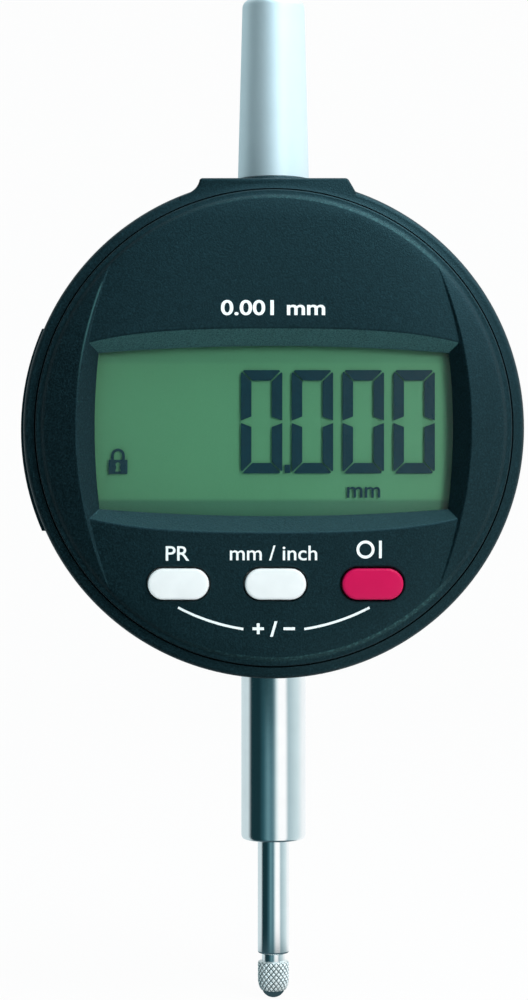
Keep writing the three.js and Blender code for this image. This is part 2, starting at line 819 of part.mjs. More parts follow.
function chassis() {
  const base = disc(chassisRadius, chassisBack, chassisFront);
  const rooted = chassisFront - pressGap;
  const ends = [-1, 1].map((end) =>
    block({
      left: -blockHalfWidth,
      right: blockHalfWidth,
      back: rooted,
      front: blockFront,
      bottom: end > 0 ? blockInnerFace : -blockSeat,
      top: end > 0 ? blockSeat : -blockInnerFace,
    }),
  );
  const posts = boardPostPlaces.map(([across, height]) =>
    peg(postRadius, across, height, rooted, boardBack),
  );
  const rails = [-1, 1].map((end) => {
    const inner = end * (drawerHalfHeight + fitGap);
    const outer = inner + end * guideRailThickness;
    return block({
      left: batteryAcross - batteryRadius + drawerFrontThickness,
      right: batteryAcross + batteryRadius,
      back: rooted,
      front: chassisFront + guideRailHeight,
      bottom: Math.min(inner, outer),
      top: Math.max(inner, outer),
    });
  });
  const stopFrom = -Math.PI / 2 - stopHalfAngle;
  const stopTo = -Math.PI / 2 + stopHalfAngle;
  const stopOutline = sector(cavityRadius + slideGap, skirtLowerRadius, stopFrom, stopTo);
  const stop = plate(stopOutline, blockFront - pressGap, skirtBack - fitGap);
  const clampScrews = screwPlaces.map(([across, height]) =>
    peg(screwRadius + turnGap, across, height, chassisBack - overrun, chassisFront + overrun),
  );
  const threadRadius = boardScrewDiameter / 2 + pressGap;
  const boardScrews = boardPostPlaces.map(([across, height]) =>
    peg(threadRadius, across, height, boardBack - boardScrewLength, boardBack + overrun),
  );
  const stemBoreHere = shaft(stemThreadRadius + pressGap, -bodyRadius, overrun - blockInnerFace);
  const bushBoreHere = shaft(stemThreadRadius + pressGap, blockInnerFace - overrun, bodyRadius);
  const whole = joined(base, ...ends, ...posts, ...rails, stop);
  const trimmed = whole.intersect(disc(chassisRadius, chassisBack, displayBoardBack));
  return cut(trimmed, stemBoreHere, bushBoreHere, guideSlot(), ...clampScrews, ...boardScrews);
}

// Stem, bushes and what stands on top of the body.
function stem() {
  return turnedOnSpindle([
    [stemBore, stemEnd],
    [stemRadius - stemChamfer, stemEnd],
    [stemRadius, stemEnd + stemChamfer],
    [stemRadius, -blockSeat],
    [stemThreadRadius, -blockSeat],
    [stemThreadRadius, -blockInnerFace],
    [stemBore, -blockInnerFace],
  ]);
}

const wiperBottom = stemEnd + slideGap;
const wiperTop = wiperBottom + wiperThickness;

function spindleCap() {
  const top = capTopDiameter / 2;
  const bottom = capBottomDiameter / 2;
  const bore = top - capWall;
  const threadTop = collarTop + capThreadLength;
  const outside = [];
  for (let i = 0; i <= roundingSteps; i += 1) {
    const turn = (Math.PI * i) / (2 * roundingSteps);
    const radius = top - capRoundingRadius * (1 - Math.cos(turn));
    outside.push([radius, capTop - capRoundingRadius * (1 - Math.sin(turn))]);
  }
  return turnedOnSpindle([
    [0, capTop - capWall],
    [bore, capTop - capWall],
    [bore, threadTop],
    [stemThreadRadius + pressGap, threadTop],
    [stemThreadRadius + pressGap, collarTop],
    [bottom, collarTop],
    ...outside,
    [0, capTop],
  ]);
}

function capCollar() {
  const radius = collarDiameter / 2;
  const bore = stemThreadRadius + pressGap;
  return turnedOnSpindle([
    [bore, bodyRadius],
    [radius, bodyRadius],
    [radius, collarTop - collarChamfer],
    [radius - collarChamfer, collarTop],
    [bore, collarTop],
  ]);
}

// Spindle, with a threaded hole in its end for the contact point.
function spindle() {
  const bore = pointThreadDiameter / 2 + pressGap;
  const holeTop = spindleEnd + pointThreadLength + fitGap;
  return turnedOnSpindle([
    [0, holeTop],
    [bore, holeTop],
    [bore, spindleEnd],
    [spindleRadius - spindleChamfer, spindleEnd],
    [spindleRadius, spindleEnd + spindleChamfer],
    [spindleRadius, spindleTop - spindleChamfer],
    [spindleRadius - spindleChamfer, spindleTop],
    [0, spindleTop],
  ]);
}

// Diamond knurling: rings whose corners stand high and low in turn, so that each high one is a pyramid.
function knurledBarrel(bottom, top, radius) {
  const points = [];
  const faces = [];
  for (let row = 0; row <= knurlRows; row += 1) {
    const height = bottom + ((top - bottom) * row) / knurlRows;
    const edge = row === 0 || row === knurlRows;
    for (let column = 0; column < knurlColumns; column += 1) {
      const turn = (2 * Math.PI * column) / knurlColumns;
      const high = (row + column) % 2 === 0 && !edge;
      const reach = high ? radius : radius - knurlDepth;
      points.push(reach * Math.cos(turn), reach * Math.sin(turn), height);
    }
  }
  for (let row = 0; row < knurlRows; row += 1) {
    for (let column = 0; column < knurlColumns; column += 1) {
      const next = (column + 1) % knurlColumns;
      const a = row * knurlColumns + column;
      const b = row * knurlColumns + next;
      const c = a + knurlColumns;
      const d = b + knurlColumns;
      if ((row + column) % 2 === 0) faces.push(a, b, c, b, d, c);
      else faces.push(a, b, d, a, d, c);
    }
  }
  const lowCentre = points.length / 3;
  const lastRow = knurlRows * knurlColumns;
  points.push(0, 0, bottom, 0, 0, top);
  for (let column = 0; column < knurlColumns; column += 1) {
    const next = (column + 1) % knurlColumns;
    faces.push(lowCentre, next, column, lowCentre + 1, lastRow + column, lastRow + next);
  }
  const geometry = new THREE.BufferGeometry();
  geometry.setAttribute("position", new THREE.Float32BufferAttribute(points, 3));
  geometry.setIndex(faces);
  return solidOf(geometry);
}

const barrelTop = spindleEnd - pointNeckLength;
const barrelBottom = barrelTop - pointBarrelLength;
const noseBottom = barrelBottom - pointNoseLength;
const ballRadius = pointBallDiameter / 2;
const ballCentre = noseBottom - pointBallShowing + ballRadius;

function contactPoint() {
  const barrelRadius = pointBarrelDiameter / 2;
  const knurlFloor = barrelRadius - knurlDepth;
  const neckRadius = pointNeckDiameter / 2;
  const threadRadius = pointThreadDiameter / 2;
  const core = turnedOnSpindle([
    [0, noseBottom],
    [pointNoseDiameter / 2, noseBottom],
    [knurlFloor - pressGap, barrelBottom],
    [neckRadius, barrelBottom],
    [neckRadius, barrelTop - pointShoulder],
    [knurlFloor - pressGap, barrelTop - pointShoulder],
    [neckRadius, barrelTop],
    [neckRadius, spindleEnd],
    [threadRadius, spindleEnd],
    [threadRadius, spindleEnd + pointThreadLength],
    [0, spindleEnd + pointThreadLength],
  ]);
  const barrel = knurledBarrel(barrelBottom, barrelTop - pointShoulder, barrelRadius);
  const socket = shaft(ballRadius + pressGap, noseBottom - overrun, ballCentre + ballRadius + pressGap);
  return core.add(barrel).subtract(socket);
}

function contactBall() {
  const ball = new THREE.SphereGeometry(ballRadius, smallSides, smallSides / 2);
  return solidOf(ball.rotateX(Math.PI / 2).translate(0, 0, ballCentre));
}

// The collar meets the damper ring at the lower end of the travel.
function damperRing() {
  return sleeve(bushBore + turnGap, blockHalfWidth - blockSideWall / 2, -blockInnerFace, damperTop);
}

function stopCollar() {
  return sleeve(clampBore, spindleRadius + stopCollarWall, stopCollarBottom, carrierBottom);
}

function guidePin() {
  const front = carrierBack + guidePinDepth - pressGap;
  return peg(guidePinRadius, 0, guidePinHeight, chassisBack + fitGap, front);
}

// Carrier clamped on the spindle: a block with a slit on one side and a seat for the guide pin.
function scaleCarrier() {
  const body = block({
    left: -carrierHalfWidth,
    right: carrierHalfWidth,
    back: carrierBack,
    front: carrierFront,
    bottom: carrierBottom,
    top: carrierTop,
  });
  const slit = block({
    left: 0,
    right: carrierHalfWidth + overrun,
    back: -slideGap,
    front: slideGap,
    bottom: carrierBottom - overrun,
    top: carrierTop + overrun,
  });
  const bore = shaft(clampBore, carrierBottom - overrun, carrierTop + overrun);
  const seatRadius = guidePinRadius + pressGap;
  const pinSeat = peg(seatRadius, 0, guidePinHeight, carrierBack - overrun, carrierBack + guidePinDepth);
  return cut(body, bore, slit, pinSeat);
}

function measuringScale() {
  return block({
    left: scaleMargin - carrierHalfWidth,
    right: carrierHalfWidth - scaleMargin,
    back: carrierFront,
    front: scaleFront,
    bottom: carrierBottom + scaleMargin,
    top: carrierTop - scaleMargin,
  });
}

// Return spring: one unbroken wire, whose ends stand square on the carrier and under the upper bush.
function returnSpring() {
  const low = carrierTop + slideGap;
  const high = blockInnerFace - slideGap;
  const steps = springCurls * stepsPerCurl;
  const meanRadius = springMeanDiameter / 2;
  const rise = high - low - 2 * springWireDiameter;
  const points = [new THREE.Vector3(meanRadius, 0, low)];
  for (let i = 0; i <= steps; i += 1) {
    const turn = (2 * Math.PI * i) / stepsPerCurl;
    const height = low + springWireDiameter + (rise * i) / steps;
    points.push(new THREE.Vector3(meanRadius * Math.cos(turn), meanRadius * Math.sin(turn), height));
  }
  points.push(new THREE.Vector3(meanRadius, 0, high));
  let leastGap = Infinity;
  points.forEach((point, i) => {
    for (const other of points.slice(i + stepsPerCurl / 2)) {
      leastGap = Math.min(leastGap, point.distanceTo(other) - springWireDiameter);
    }
  });
  console.log(`return spring, least gap to itself: ${leastGap.toFixed(2)} mm`);
  return tubeThrough(points, springWireDiameter / 2, wireSides);
}

// Boards
function sensorBoard() {
  const outline = rectangle(-boardHalfWidth, boardHalfWidth, -boardHalfHeight, boardHalfHeight);
  const holes = boardPostPlaces.map(([across, height]) =>
    peg(boardScrewDiameter / 2 + slideGap, across, height, boardBack - overrun, boardFront + overrun),
  );
  return cut(plate(outline, boardBack, boardFront), ...holes);
}

function boardScrew([across, height]) {
  const head = boardScrewHeadDiameter / 2;
  const shank = boardScrewDiameter / 2;
  const end = boardFront - boardScrewLength;
  const screw = turnedOnFace(
    [
      [0, end],
      [shank, end],
      [shank, boardFront],
      [head, boardFront],
      [head, boardFront + boardScrewHead / 2],
      [head * Math.SQRT1_2, boardFront + boardScrewHead],
      [0, boardFront + boardScrewHead],
    ],
    smallSides,
  );
  return screw.translate([across, 0, height]);
}

function processorChip() {
  const left = postSpread - postRadius - chipSize;
  return block({
    left,
    right: left + chipSize,
    back: boardFront,
    front: boardFront + chipThickness,
    bottom: -chipSize / 2,
    top: chipSize / 2,
  });
}

// Battery drawer: a tray with a curved front that closes the mouth in the body's side.
function batteryDrawer() {
  const standRadius = bodyRadius + drawerStand;
  const innerEnd = batteryAcross + batteryRadius + fitGap + drawerWall;
  const trayFront = batteryFront - drawerRimDrop;
  const front = disc(standRadius, drawerBack, drawerFrontFace).subtract(
    disc(bodyRadius - drawerFrontThickness, drawerBack - overrun, drawerFrontFace + overrun),
  );
  const mouthPart = block({
    left: -standRadius - overrun,
    right: batteryAcross,
    back: drawerBack,
    front: drawerFrontFace,
    bottom: -drawerFrontHalfHeight,
    top: drawerFrontHalfHeight,
  });
  const tray = block({
    left: drawerStand - bodyRadius,
    right: innerEnd,
    back: drawerBack,
    front: trayFront,
    bottom: -drawerHalfHeight,
    top: drawerHalfHeight,
  }).intersect(disc(bodyRadius, drawerBack, trayFront));
  const seat = peg(batteryRadius + fitGap, batteryAcross, 0, batteryBack, trayFront + overrun, shaftSides);
  const contactRoom = block({
    left: innerEnd - 2 * drawerWall - fitGap,
    right: innerEnd + overrun,
    back: drawerBack - overrun,
    front: trayFront + overrun,
    bottom: -contactWidth / 2 - fitGap,
    top: contactWidth / 2 + fitGap,
  });
  const grip = block({
    left: -standRadius - overrun,
    right: drawerGripDepth - standRadius,
    back: drawerFrontFace - drawerWall - drawerGripWidth,
    front: drawerFrontFace - drawerWall,
    bottom: -drawerGripHeight / 2,
    top: drawerGripHeight / 2,
  });
  return cut(front.intersect(mouthPart).add(tray), seat, contactRoom, grip);
}

function battery() {
  const cell = turnedOnFace(
    [
      [0, batteryBack],
      [batteryRadius, batteryBack],
      [batteryRadius, batteryFront - batteryEdge],
      [batteryRadius - batteryEdge, batteryFront],
      [0, batteryFront],
    ],
    shaftSides,
  );
  return cell.translate([batteryAcross, 0, 0]);
}

// A leaf of sheet metal along a path of [across, front] points.
function leaf(path, thickness, width) {
  const outline = new THREE.Shape();
  const otherSide = path.map(([across, front]) => [across, front + thickness]).reverse();
  [...path, ...otherSide].forEach(([across, front], i) => {
    if (i === 0) outline.moveTo(across, front);
    else outline.lineTo(across, front);
  });
  const shape = new THREE.ExtrudeGeometry(outline, { depth: width, bevelEnabled: false });
  return solidOf(shape.scale(1, -1, 1).translate(0, 0, -width / 2));
}

function negativeContact() {
  const foot = boardBack - contactThickness;
  const tip = batteryFront + slideGap;
  const start = -carrierHalfWidth - contactFoot;
  const bend = start - contactFoot;
  return leaf(
    [
      [start, foot],
      [bend, foot],
      [bend - contactReach, tip],
      [bend - contactReach - contactFoot / 2, tip + contactThickness],
    ],
    contactThickness,
    contactWidth,
  );
}

function positiveContact() {
  const edge = batteryAcross + batteryRadius + slideGap;
  const outline = new THREE.Shape();
  outline.moveTo(edge, chassisFront);
  outline.lineTo(edge + contactFoot, chassisFront);
  outline.lineTo(edge + contactFoot, chassisFront + contactThickness);
  outline.lineTo(edge + contactThickness, chassisFront + contactThickness);
  outline.lineTo(edge + contactThickness, batteryFront - drawerRimDrop);
  outline.lineTo(edge, batteryFront - drawerRimDrop);
  const shape = new THREE.ExtrudeGeometry(outline, { depth: contactWidth, bevelEnabled: false });
  return solidOf(shape.scale(1, -1, 1).translate(0, 0, -contactWidth / 2));
}

// Rear cover and its countersunk screws
function rearCover() {
  const edge = bodyRadius - rearCoverInset;
  const body = turnedOnFace([
    [0, rearCoverBack],
    [edge - rearEdgeChamfer, rearCoverBack],
    [edge, rearCoverBack + rearEdgeChamfer],
    [edge, housingBack],
    [chassisRadius, housingBack],
    [chassisRadius, chassisBack],
    [0, chassisBack],
  ]);
  const sinks = screwPlaces.map(([across, height]) =>
    turnedOnFace(
      [
        [0, rearCoverBack - overrun],
        [screwHeadRadius + slideGap, rearCoverBack - overrun],
        [screwHeadRadius + slideGap, rearCoverBack + rearScrewSink + slideGap],
        [screwRadius + slideGap, rearCoverBack + rearScrewSink + slideGap + rearScrewHeadHeight],
        [screwRadius + slideGap, chassisBack + overrun],
        [0, chassisBack + overrun],
      ],
      smallSides,
    ).translate([across, 0, height]),
  );
  return cut(body, ...sinks);
}

function rearScrew([across, height]) {
  const face = rearCoverBack + rearScrewSink;
  const screw = turnedOnFace(
    [
      [0, face],
      [screwHeadRadius, face],
      [screwRadius, face + rearScrewHeadHeight],
      [screwRadius, face + rearScrewLength],
      [0, face + rearScrewLength],
    ],
    smallSides,
  );
  const socketRadius = rearScrewSocketDiameter / 2;
  const socket = disc(socketRadius, face - overrun, face + rearScrewSocketDepth, socketSides);
  return screw.subtract(socket).translate([across, 0, height]);
}

add("housing", housing(), blackPlastic);
add("rear_cover", rearCover(), blackPlastic);
screwPlaces.forEach((place, i) => add(`rear_screw_${i + 1}`, rearScrew(place), groundSteel));
add("chassis", chassis(), castMetal);
add("stem", stem(), groundSteel);
add("stem_wiper", sleeve(bushBore, bushRadius, wiperBottom, wiperTop), rubber);
add("lower_bush", sleeve(bushBore, bushRadius, wiperTop, wiperTop + lowerBushLength), bronze);
add("upper_bush", sleeve(bushBore, stemThreadRadius, blockInnerFace, collarTop + capThreadLength), bronze);
add("cap_collar", capCollar(), blackPlastic);
add("spindle_cap", spindleCap(), satinAluminium);
add("damper_ring", damperRing(), rubber);
add("sensor_board", sensorBoard(), greenBoard);
boardPostPlaces.forEach((place, i) => add(`board_screw_${i + 1}`, boardScrew(place), groundSteel));
add("processor_chip", processorChip(), blackChip);
add("battery_contact_minus", negativeContact(), springSteel);
add("battery_contact_plus", positiveContact(), springSteel);

add("spindle", spindle(), groundSteel);
add("stop_collar", stopCollar(), groundSteel);
add("scale_carrier", scaleCarrier(), castMetal);
add("guide_pin", guidePin(), groundSteel);
add("measuring_scale", measuringScale(), glassScale);
add("contact_point", contactPoint(), groundSteel);
add("contact_ball", contactBall(), hardBall);
add("return_spring", returnSpring(), springSteel);

add("front_cover", frontCover(), wingPlastic);
add("display_window", panelPlate(panelFront, windowFront, slideGap), clearPlate);
add("crystal_panel", panelPlate(panelBack, panelFront, pressGap), crystalPanel);
add("panel_frame", panelFrame(), blackPlastic);
add("contact_strip_upper", contactStrip(1), rubber);
add("contact_strip_lower", contactStrip(-1), rubber);
add("display_board", disc(cavityRadius - turnGap, displayBoardBack, displayBoardFront), greenBoard);
add("keypad_mat", keypad(), rubber);
["preset", "unit", "power"].forEach((name, i) => {
  add(`${name}_switch`, domeSwitch(buttonPlaces[i]), springSteel);
  add(`${name}_button`, button(buttonPlaces[i]), i < 2 ? whitePlastic : redPlastic);
});
add("display_seal", displaySeal(), rubber);
add("display_circlip", displayCirclip(), springSteel);

add("battery_drawer", batteryDrawer(), blackPlastic);
add("battery", battery(), groundSteel);

export default assembly;
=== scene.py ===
import json
import math
from contextlib import contextmanager

import bmesh
import bpy
from bpy.props import FloatProperty, FloatVectorProperty, IntProperty, PointerProperty
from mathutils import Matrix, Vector, kdtree
from mathutils.geometry import delaunay_2d_cdt


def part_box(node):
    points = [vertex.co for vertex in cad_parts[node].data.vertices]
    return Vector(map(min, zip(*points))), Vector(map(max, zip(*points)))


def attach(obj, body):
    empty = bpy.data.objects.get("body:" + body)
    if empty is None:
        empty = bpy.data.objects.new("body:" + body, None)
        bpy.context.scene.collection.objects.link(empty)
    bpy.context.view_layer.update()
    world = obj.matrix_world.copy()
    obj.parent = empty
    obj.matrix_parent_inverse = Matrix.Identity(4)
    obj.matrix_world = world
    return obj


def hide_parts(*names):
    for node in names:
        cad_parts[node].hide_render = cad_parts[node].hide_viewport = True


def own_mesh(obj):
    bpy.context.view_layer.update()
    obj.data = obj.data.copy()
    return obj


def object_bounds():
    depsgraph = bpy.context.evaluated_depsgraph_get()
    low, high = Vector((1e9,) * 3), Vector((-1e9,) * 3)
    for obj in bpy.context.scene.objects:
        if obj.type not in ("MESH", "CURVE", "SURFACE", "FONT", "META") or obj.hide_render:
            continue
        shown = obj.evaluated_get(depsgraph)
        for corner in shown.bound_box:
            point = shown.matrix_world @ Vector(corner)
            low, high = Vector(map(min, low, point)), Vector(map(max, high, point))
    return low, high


bl_info = {
    "name": "Digital Dial Indicator",
    "version": (1, 0, 0),
    "blender": (4, 5, 0),
    "location": "3D View > Sidebar > Dial Indicator",
    "description": "Dresses the packed solids of a digital dial indicator",
    "category": "Object",
}

# Places are measured from the body's centre: "across" to the viewer's right, "front" towards the viewer
# from the spindle's axis, and "height" upwards. Lengths are metres.
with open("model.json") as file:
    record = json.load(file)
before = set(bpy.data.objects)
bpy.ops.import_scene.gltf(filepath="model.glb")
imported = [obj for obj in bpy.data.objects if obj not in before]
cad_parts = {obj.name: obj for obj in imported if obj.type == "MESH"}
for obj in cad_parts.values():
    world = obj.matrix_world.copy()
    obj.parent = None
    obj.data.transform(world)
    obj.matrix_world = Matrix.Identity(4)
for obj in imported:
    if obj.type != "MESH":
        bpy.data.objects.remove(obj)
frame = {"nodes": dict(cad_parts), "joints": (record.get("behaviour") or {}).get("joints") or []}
CAD_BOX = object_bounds()
MM = 0.001
CENTRE = next(j["pos_m"][2] for j in frame["joints"] if j["name"] == "display_turn")
# The size of one of the photograph's pixels on the cover's face
PIXEL = 0.1186 * MM
# Corners nearer together than this are one corner
SAME_PLACE = 0.0002 * MM
# Grain along no axis, and along the spindle's
EVEN = (1.0, 1.0, 1.0)
ROUND_THE_SPINDLE = (0.02, 0.02, 1.0)


def at(across, front, height):
    """A point in the part's frame."""
    return (across, -front, height + CENTRE)


def right_of(node):
    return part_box(node)[1].x


def front_of(node):
    return -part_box(node)[0].y


def back_of(node):
    return -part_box(node)[1].y


def top_of(node):
    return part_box(node)[1].z - CENTRE


def bottom_of(node):
    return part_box(node)[0].z - CENTRE


# Properties
def length(name, millimetres, description):
    return FloatProperty(
        name=name,
        description=description,
        default=millimetres * MM,
        unit="LENGTH",
        subtype="DISTANCE",
        precision=5,
    )


def tint(name, colour, description):
    return FloatVectorProperty(
        name=name,
        description=description,
        default=colour,
        size=3,
        min=0.0,
        max=1.0,
        subtype="COLOR",
    )


def share(name, value, description):
    return FloatProperty(name=name, description=description, default=value, min=0.0, subtype="FACTOR")


def power(name, watts, description):
    return FloatProperty(name=name, description=description, default=watts, min=0.0, unit="POWER")


def number(name, value, description, least):
    return IntProperty(name=name, description=description, default=value, min=least)


class CoverSizes(bpy.types.PropertyGroup):
    """The moulded front cover that turns with the display."""

    edge_front: length("Edge front", 12.6, "Front of the face where its bevel starts")
    bevel_radius: length("Bevel radius", 27.35, "Radius where the face turns down to its bevel")
    wing_dome: length("Wing dome radius", 69, "Radius of the domed side wings")
    panel_dome: length("Panel dome radius", 203, "Radius of the flatter strip between the wings")
    panel_lift: length("Panel lift", 1.7, "How much the strip's dome is flattened towards its sides")
    bevel_drop: length("Bevel drop", 0.4, "How far the face's outer bevel drops")
    ring_drop: length("Ring drop", 0.15, "How far the ring outside the bevel falls away")
    side_arc: length("Side arc radius", 81, "Radius of the strip's curved sides")
    window_half_height: length("Window half height", 9.28, "Half height of the window at its corners")
    window_bow: length("Window bow", 0.84, "How far the window's long edges bow outwards")
    window_drop: length("Window drop", 0.4, "How far the window sits below the body's centre")
    window_border: length("Window border", 0.4, "Width of the window that the cover's lip hides")
    lip: length("Lip", 0.1, "Height of the cover's lip above the window")
    blend: length("Edge blend", 0.2, "Size of the soft edges between the cover's faces")
    hole_gap: length("Hole gap", 0.2, "Gap between a button and its hole")
    sides: number("Sides", 240, "Faces round the cover", 24)


class HousingSizes(bpy.types.PropertyGroup):
    """The body and what closes it."""

    rim_rounding: length("Rim rounding", 0.8, "Rounding between the body's side and its rim")
    edge_rounding: length("Edge rounding", 0.3, "Rounding of small edges")
    boss_half_width: length("Boss half width", 8.85, "Half width of the flat that the cap stands on")
    boss_foot: length("Boss foot half width", 9.9, "Half width of the boss where it meets the round body")
    hollow_foot: length("Hollow foot half width", 11.4, "The same on the left, where the foot is hollow")
    boss_drop: length("Boss foot drop", 1.9, "How far the boss's foot lies under the body's top")
    boss_flat: length("Boss flat drop", 0.1, "How far the boss's flat lies under the body's top")
    rim_slope: length("Rim slope", 0.32, "How far the rim falls away from the cover to its outer edge")
    rim_gap: length("Rim gap", 0.2, "Gap between the turning cover and the rim")
    sides: number("Sides", 192, "Faces round the body", 24)


class SpindleSizes(bpy.types.PropertyGroup):
    """The spindle's travel, its return spring and the knurled contact point at its end."""

    knurl_depth: length("Knurl depth", 0.13, "Depth of the grooves between the diamonds")
    nose_radius: length("Nose radius", 1.32, "Radius of the contact point's lower end")
    shoulder: length("Shoulder", 0.28, "Rounding of the contact point's upper end")
    knurl_columns: number("Knurl columns", 18, "Diamonds round the contact point", 6)
    knurl_rows: number("Knurl rows", 5, "Diamonds along the contact point", 1)
    travel: length("Travel", 12.5, "How far the spindle rises")
    spring_wire: length("Spring wire", 0.44, "Diameter of the return spring's wire")
    spring_curls: number("Spring curls", 9, "Curls of the return spring", 2)


class ButtonSizes(bpy.types.PropertyGroup):
    """The three push buttons."""

    width: length("Width", 7.25, "Width of a button")
    height: length("Height", 3.68, "Height of a button")
    rounding: length("Rounding", 0.32, "Rounding of a button's top edge")
    crown: length("Crown", 0.06, "How far the middle of a button stands over its edge")
    lip: length("Lip", 0.6, "Width and thickness of the lip that keeps a button in")
    plunger: length("Plunger radius", 1.5, "Radius of the plunger that reaches the switch")


class ReadoutSizes(bpy.types.PropertyGroup):
    """The liquid crystal display."""

    depth: length("Reflector depth", 0.55, "Depth of the reflector behind the display's front face")
    digit_left: length("First digit", -3.92, "Left edge of the first digit")
    digit_bottom: length("Digit foot", -5.43, "Lower edge of the digits")
    digit_width: length("Digit width", 4.95, "Width of a digit")
    digit_height: length("Digit height", 12.36, "Height of a digit")
    digit_pitch: length("Digit pitch", 6.08, "Distance from one digit to the next")
    stroke: length("Stroke", 1.25, "Width of a segment")
    gap: length("Segment gap", 0.18, "Gap between neighbouring segments")
    corner_cut: length("Corner cut", 0.38, "Cut at a digit's outer corners")
    band: length("Edge band", 2.2, "Height of the darker bands along the display's long edges")


class LabelSizes(bpy.types.PropertyGroup):
    """The printed marks on the cover."""

    cap_height: length("Letter height", 1.78, "Height of the capital letters")
    stroke: length("Line width", 0.29, "Width of the printed arcs")
    arc_radius: length("Arc radius", 24.19, "Radius of the arcs under the buttons")
    ink: length("Ink", 0.03, "Height of the print above the cover")


class Colours(bpy.types.PropertyGroup):
    """The colours of the finishes, as linear values."""

    plastic: tint("Case plastic", (0.0032, 0.0092, 0.0115), "Moulded body and cover")
    plastic_gloss: tint("Plastic gloss", (0.26, 0.62, 0.72), "Tint of the light that the plastic reflects")
    # Grain on the recess's bevels whose lightness is painted light; also the base of the painted edge
    # highlights
    bevel_grain_painted_light: tint("Bevel grain", (0.034, 0.090, 0.088), "Light grain on the recess's bevels")
    ink: tint("Print", (0.86, 0.90, 0.90), "Printed marks")
    white_button: tint("White button", (0.77, 0.765, 0.76), "The two pale buttons")
    red_button: tint("Red button", (0.53, 0.003, 0.070), "The power button")
    reflector: tint("Reflector", (0.094, 0.264, 0.143), "Reflector behind the liquid crystal")
    # The darker bands along the reflector's long edges, and the painted shadow along its right edge
    edge_bands_and_shadow: tint("Seal shade", (0.030, 0.085, 0.072), "The reflector's edges behind the display's seal")
    segment: tint("Segment", (0.005, 0.030, 0.046), "Switched-on segments")
    steel: tint("Steel", (0.86, 0.88, 0.89), "Ground steel")
    aluminium: tint("Aluminium", (0.76, 0.87, 0.91), "Satin aluminium")


class Studio(bpy.types.PropertyGroup):
    """Camera, lamps and floor."""

    distance: length("Camera distance", 300, "Distance of the camera from the spindle's axis")
    camera_across: length("Camera across", -1.165, "Sideways place of the camera")
    camera_height: length("Camera height", -8.609, "Height of the camera against the body's centre")
    focal_length: FloatProperty(
        name="Focal length",
        description="Focal length in millimetres",
        default=87.075,
        min=1.0,
        subtype="DISTANCE_CAMERA",
    )
    floor_size: length("Floor size", 900, "Half width of the floor")
    fill: share("Fill", 0.62, "Level of the even light from all round")
    key: power("Key", 2.0, "Power of the main lamp")
    top: power("Top", 2.3, "Power of the lamp above")


# Outlines, as lists of pairs
def spread(low, high, count):
    """Evenly spaced numbers from low to high."""
    return [low + (high - low) * k / count for k in range(count + 1)]


def arc(radius, start, end, steps, across=0.0, height=0.0):
    """Points on an arc from one angle to another."""
    angles = spread(start, end, steps)
    return [(across + radius * math.cos(a), height + radius * math.sin(a)) for a in angles]


def circle(radius, sides, across=0.0, height=0.0):
    return arc(radius, 0.0, 2 * math.pi, sides, across, height)[:-1]


def quarter(edge, top, radius, steps=8):
    """A rounded corner, from the side at edge to the face at top."""
    angles = spread(0.0, math.pi / 2, steps)
    return [(edge - radius * (1 - math.cos(a)), top - radius * (1 - math.sin(a))) for a in angles]


def rectangle(left, right, low, high):
    """A rectangle as an outline, or as the profile of a tube, or of a bar when left is 0."""
    return [(left, low), (right, low), (right, high), (left, high)]


# Solids, each a list of points and a list of faces
def band_between(lower, upper, count):
    """Faces between two rings of corners, given by the first corner of each."""
    after = [*range(1, count), 0]
    return [[lower + k, lower + after[k], upper + after[k], upper + k] for k in range(count)]


def turned(profile, sides, on_face=True, centre=(0.0, 0.0)):
    """Turns [radius, place] pairs round the display's axis, or round the spindle's."""
    closed = profile if profile[0][0] == 0.0 else [*profile, profile[0]]
    points = []
    rings = []
    for radius, place in closed:
        ring = [centre] if radius == 0.0 else circle(radius, sides, *centre)
        rings.append(range(len(points), len(points) + len(ring)))
        points += [at(a, place, b) if on_face else at(a, b, place) for a, b in ring]
    faces = []
    for lower, upper in zip(rings, rings[1:]):
        for k in range(sides):
            corners = [(lower, k), (lower, k + 1), (upper, k + 1), (upper, k)]
            face = list(dict.fromkeys(ring[place % len(ring)] for ring, place in corners))
            if len(face) > 2:
                faces.append(face)
    return points, faces


def prism(outline, back, front):
    """An outline of [across, height] pairs, made solid from back to front."""
    count = len(outline)
    points = [at(a, back, h) for a, h in outline] + [at(a, front, h) for a, h in outline]
    faces = [list(range(count)), list(range(2 * count - 1, count - 1, -1))]
    return points, faces + band_between(0, count, count)


def block(left, right, back, front, bottom, top):
    return prism(rectangle(left, right, bottom, top), back, front)


def eased(profile, radius, steps=4):
    """Rounds the corners of a profile, keeping its first and last point."""
    eased_points = [profile[0]]
    for before, here, after in zip(profile, profile[1:], profile[2:]):
        corner = Vector(here)
        arm = min(radius, (Vector(before) - corner).length / 2, (Vector(after) - corner).length / 2)
        start = corner + (Vector(before) - corner).normalized() * arm
        end = corner + (Vector(after) - corner).normalized() * arm
        for i in range(steps + 1):
            t = i / steps
            point = start * (1 - t) ** 2 + corner * 2 * t * (1 - t) + end * t**2
            eased_points.append((point.x, point.y))
    eased_points.append(profile[-1])
    return eased_points


def stadium(width, height, across, up, steps=20):
    """A slot outline with round ends."""
    radius = height / 2
    reach = width / 2 - radius
    right = arc(radius, -math.pi / 2, math.pi / 2, steps, across + reach, up)
    return right + arc(radius, math.pi / 2, 1.5 * math.pi, steps, across - reach, up)


def sector(inner, outer, start, end, steps=24):
    """A part of a flat ring between two angles."""
    return arc(outer, start, end, steps) + arc(inner, start, end, steps)[::-1]


def within(outline, across, height):
    """Whether a point lies inside an outline."""
    inside = False
    for (a, b), (c, d) in zip(outline, [*outline[1:], outline[0]]):
        if (b > height) != (d > height) and across < (c - a) * (height - b) / (d - b) + a:
            inside = not inside
    return inside


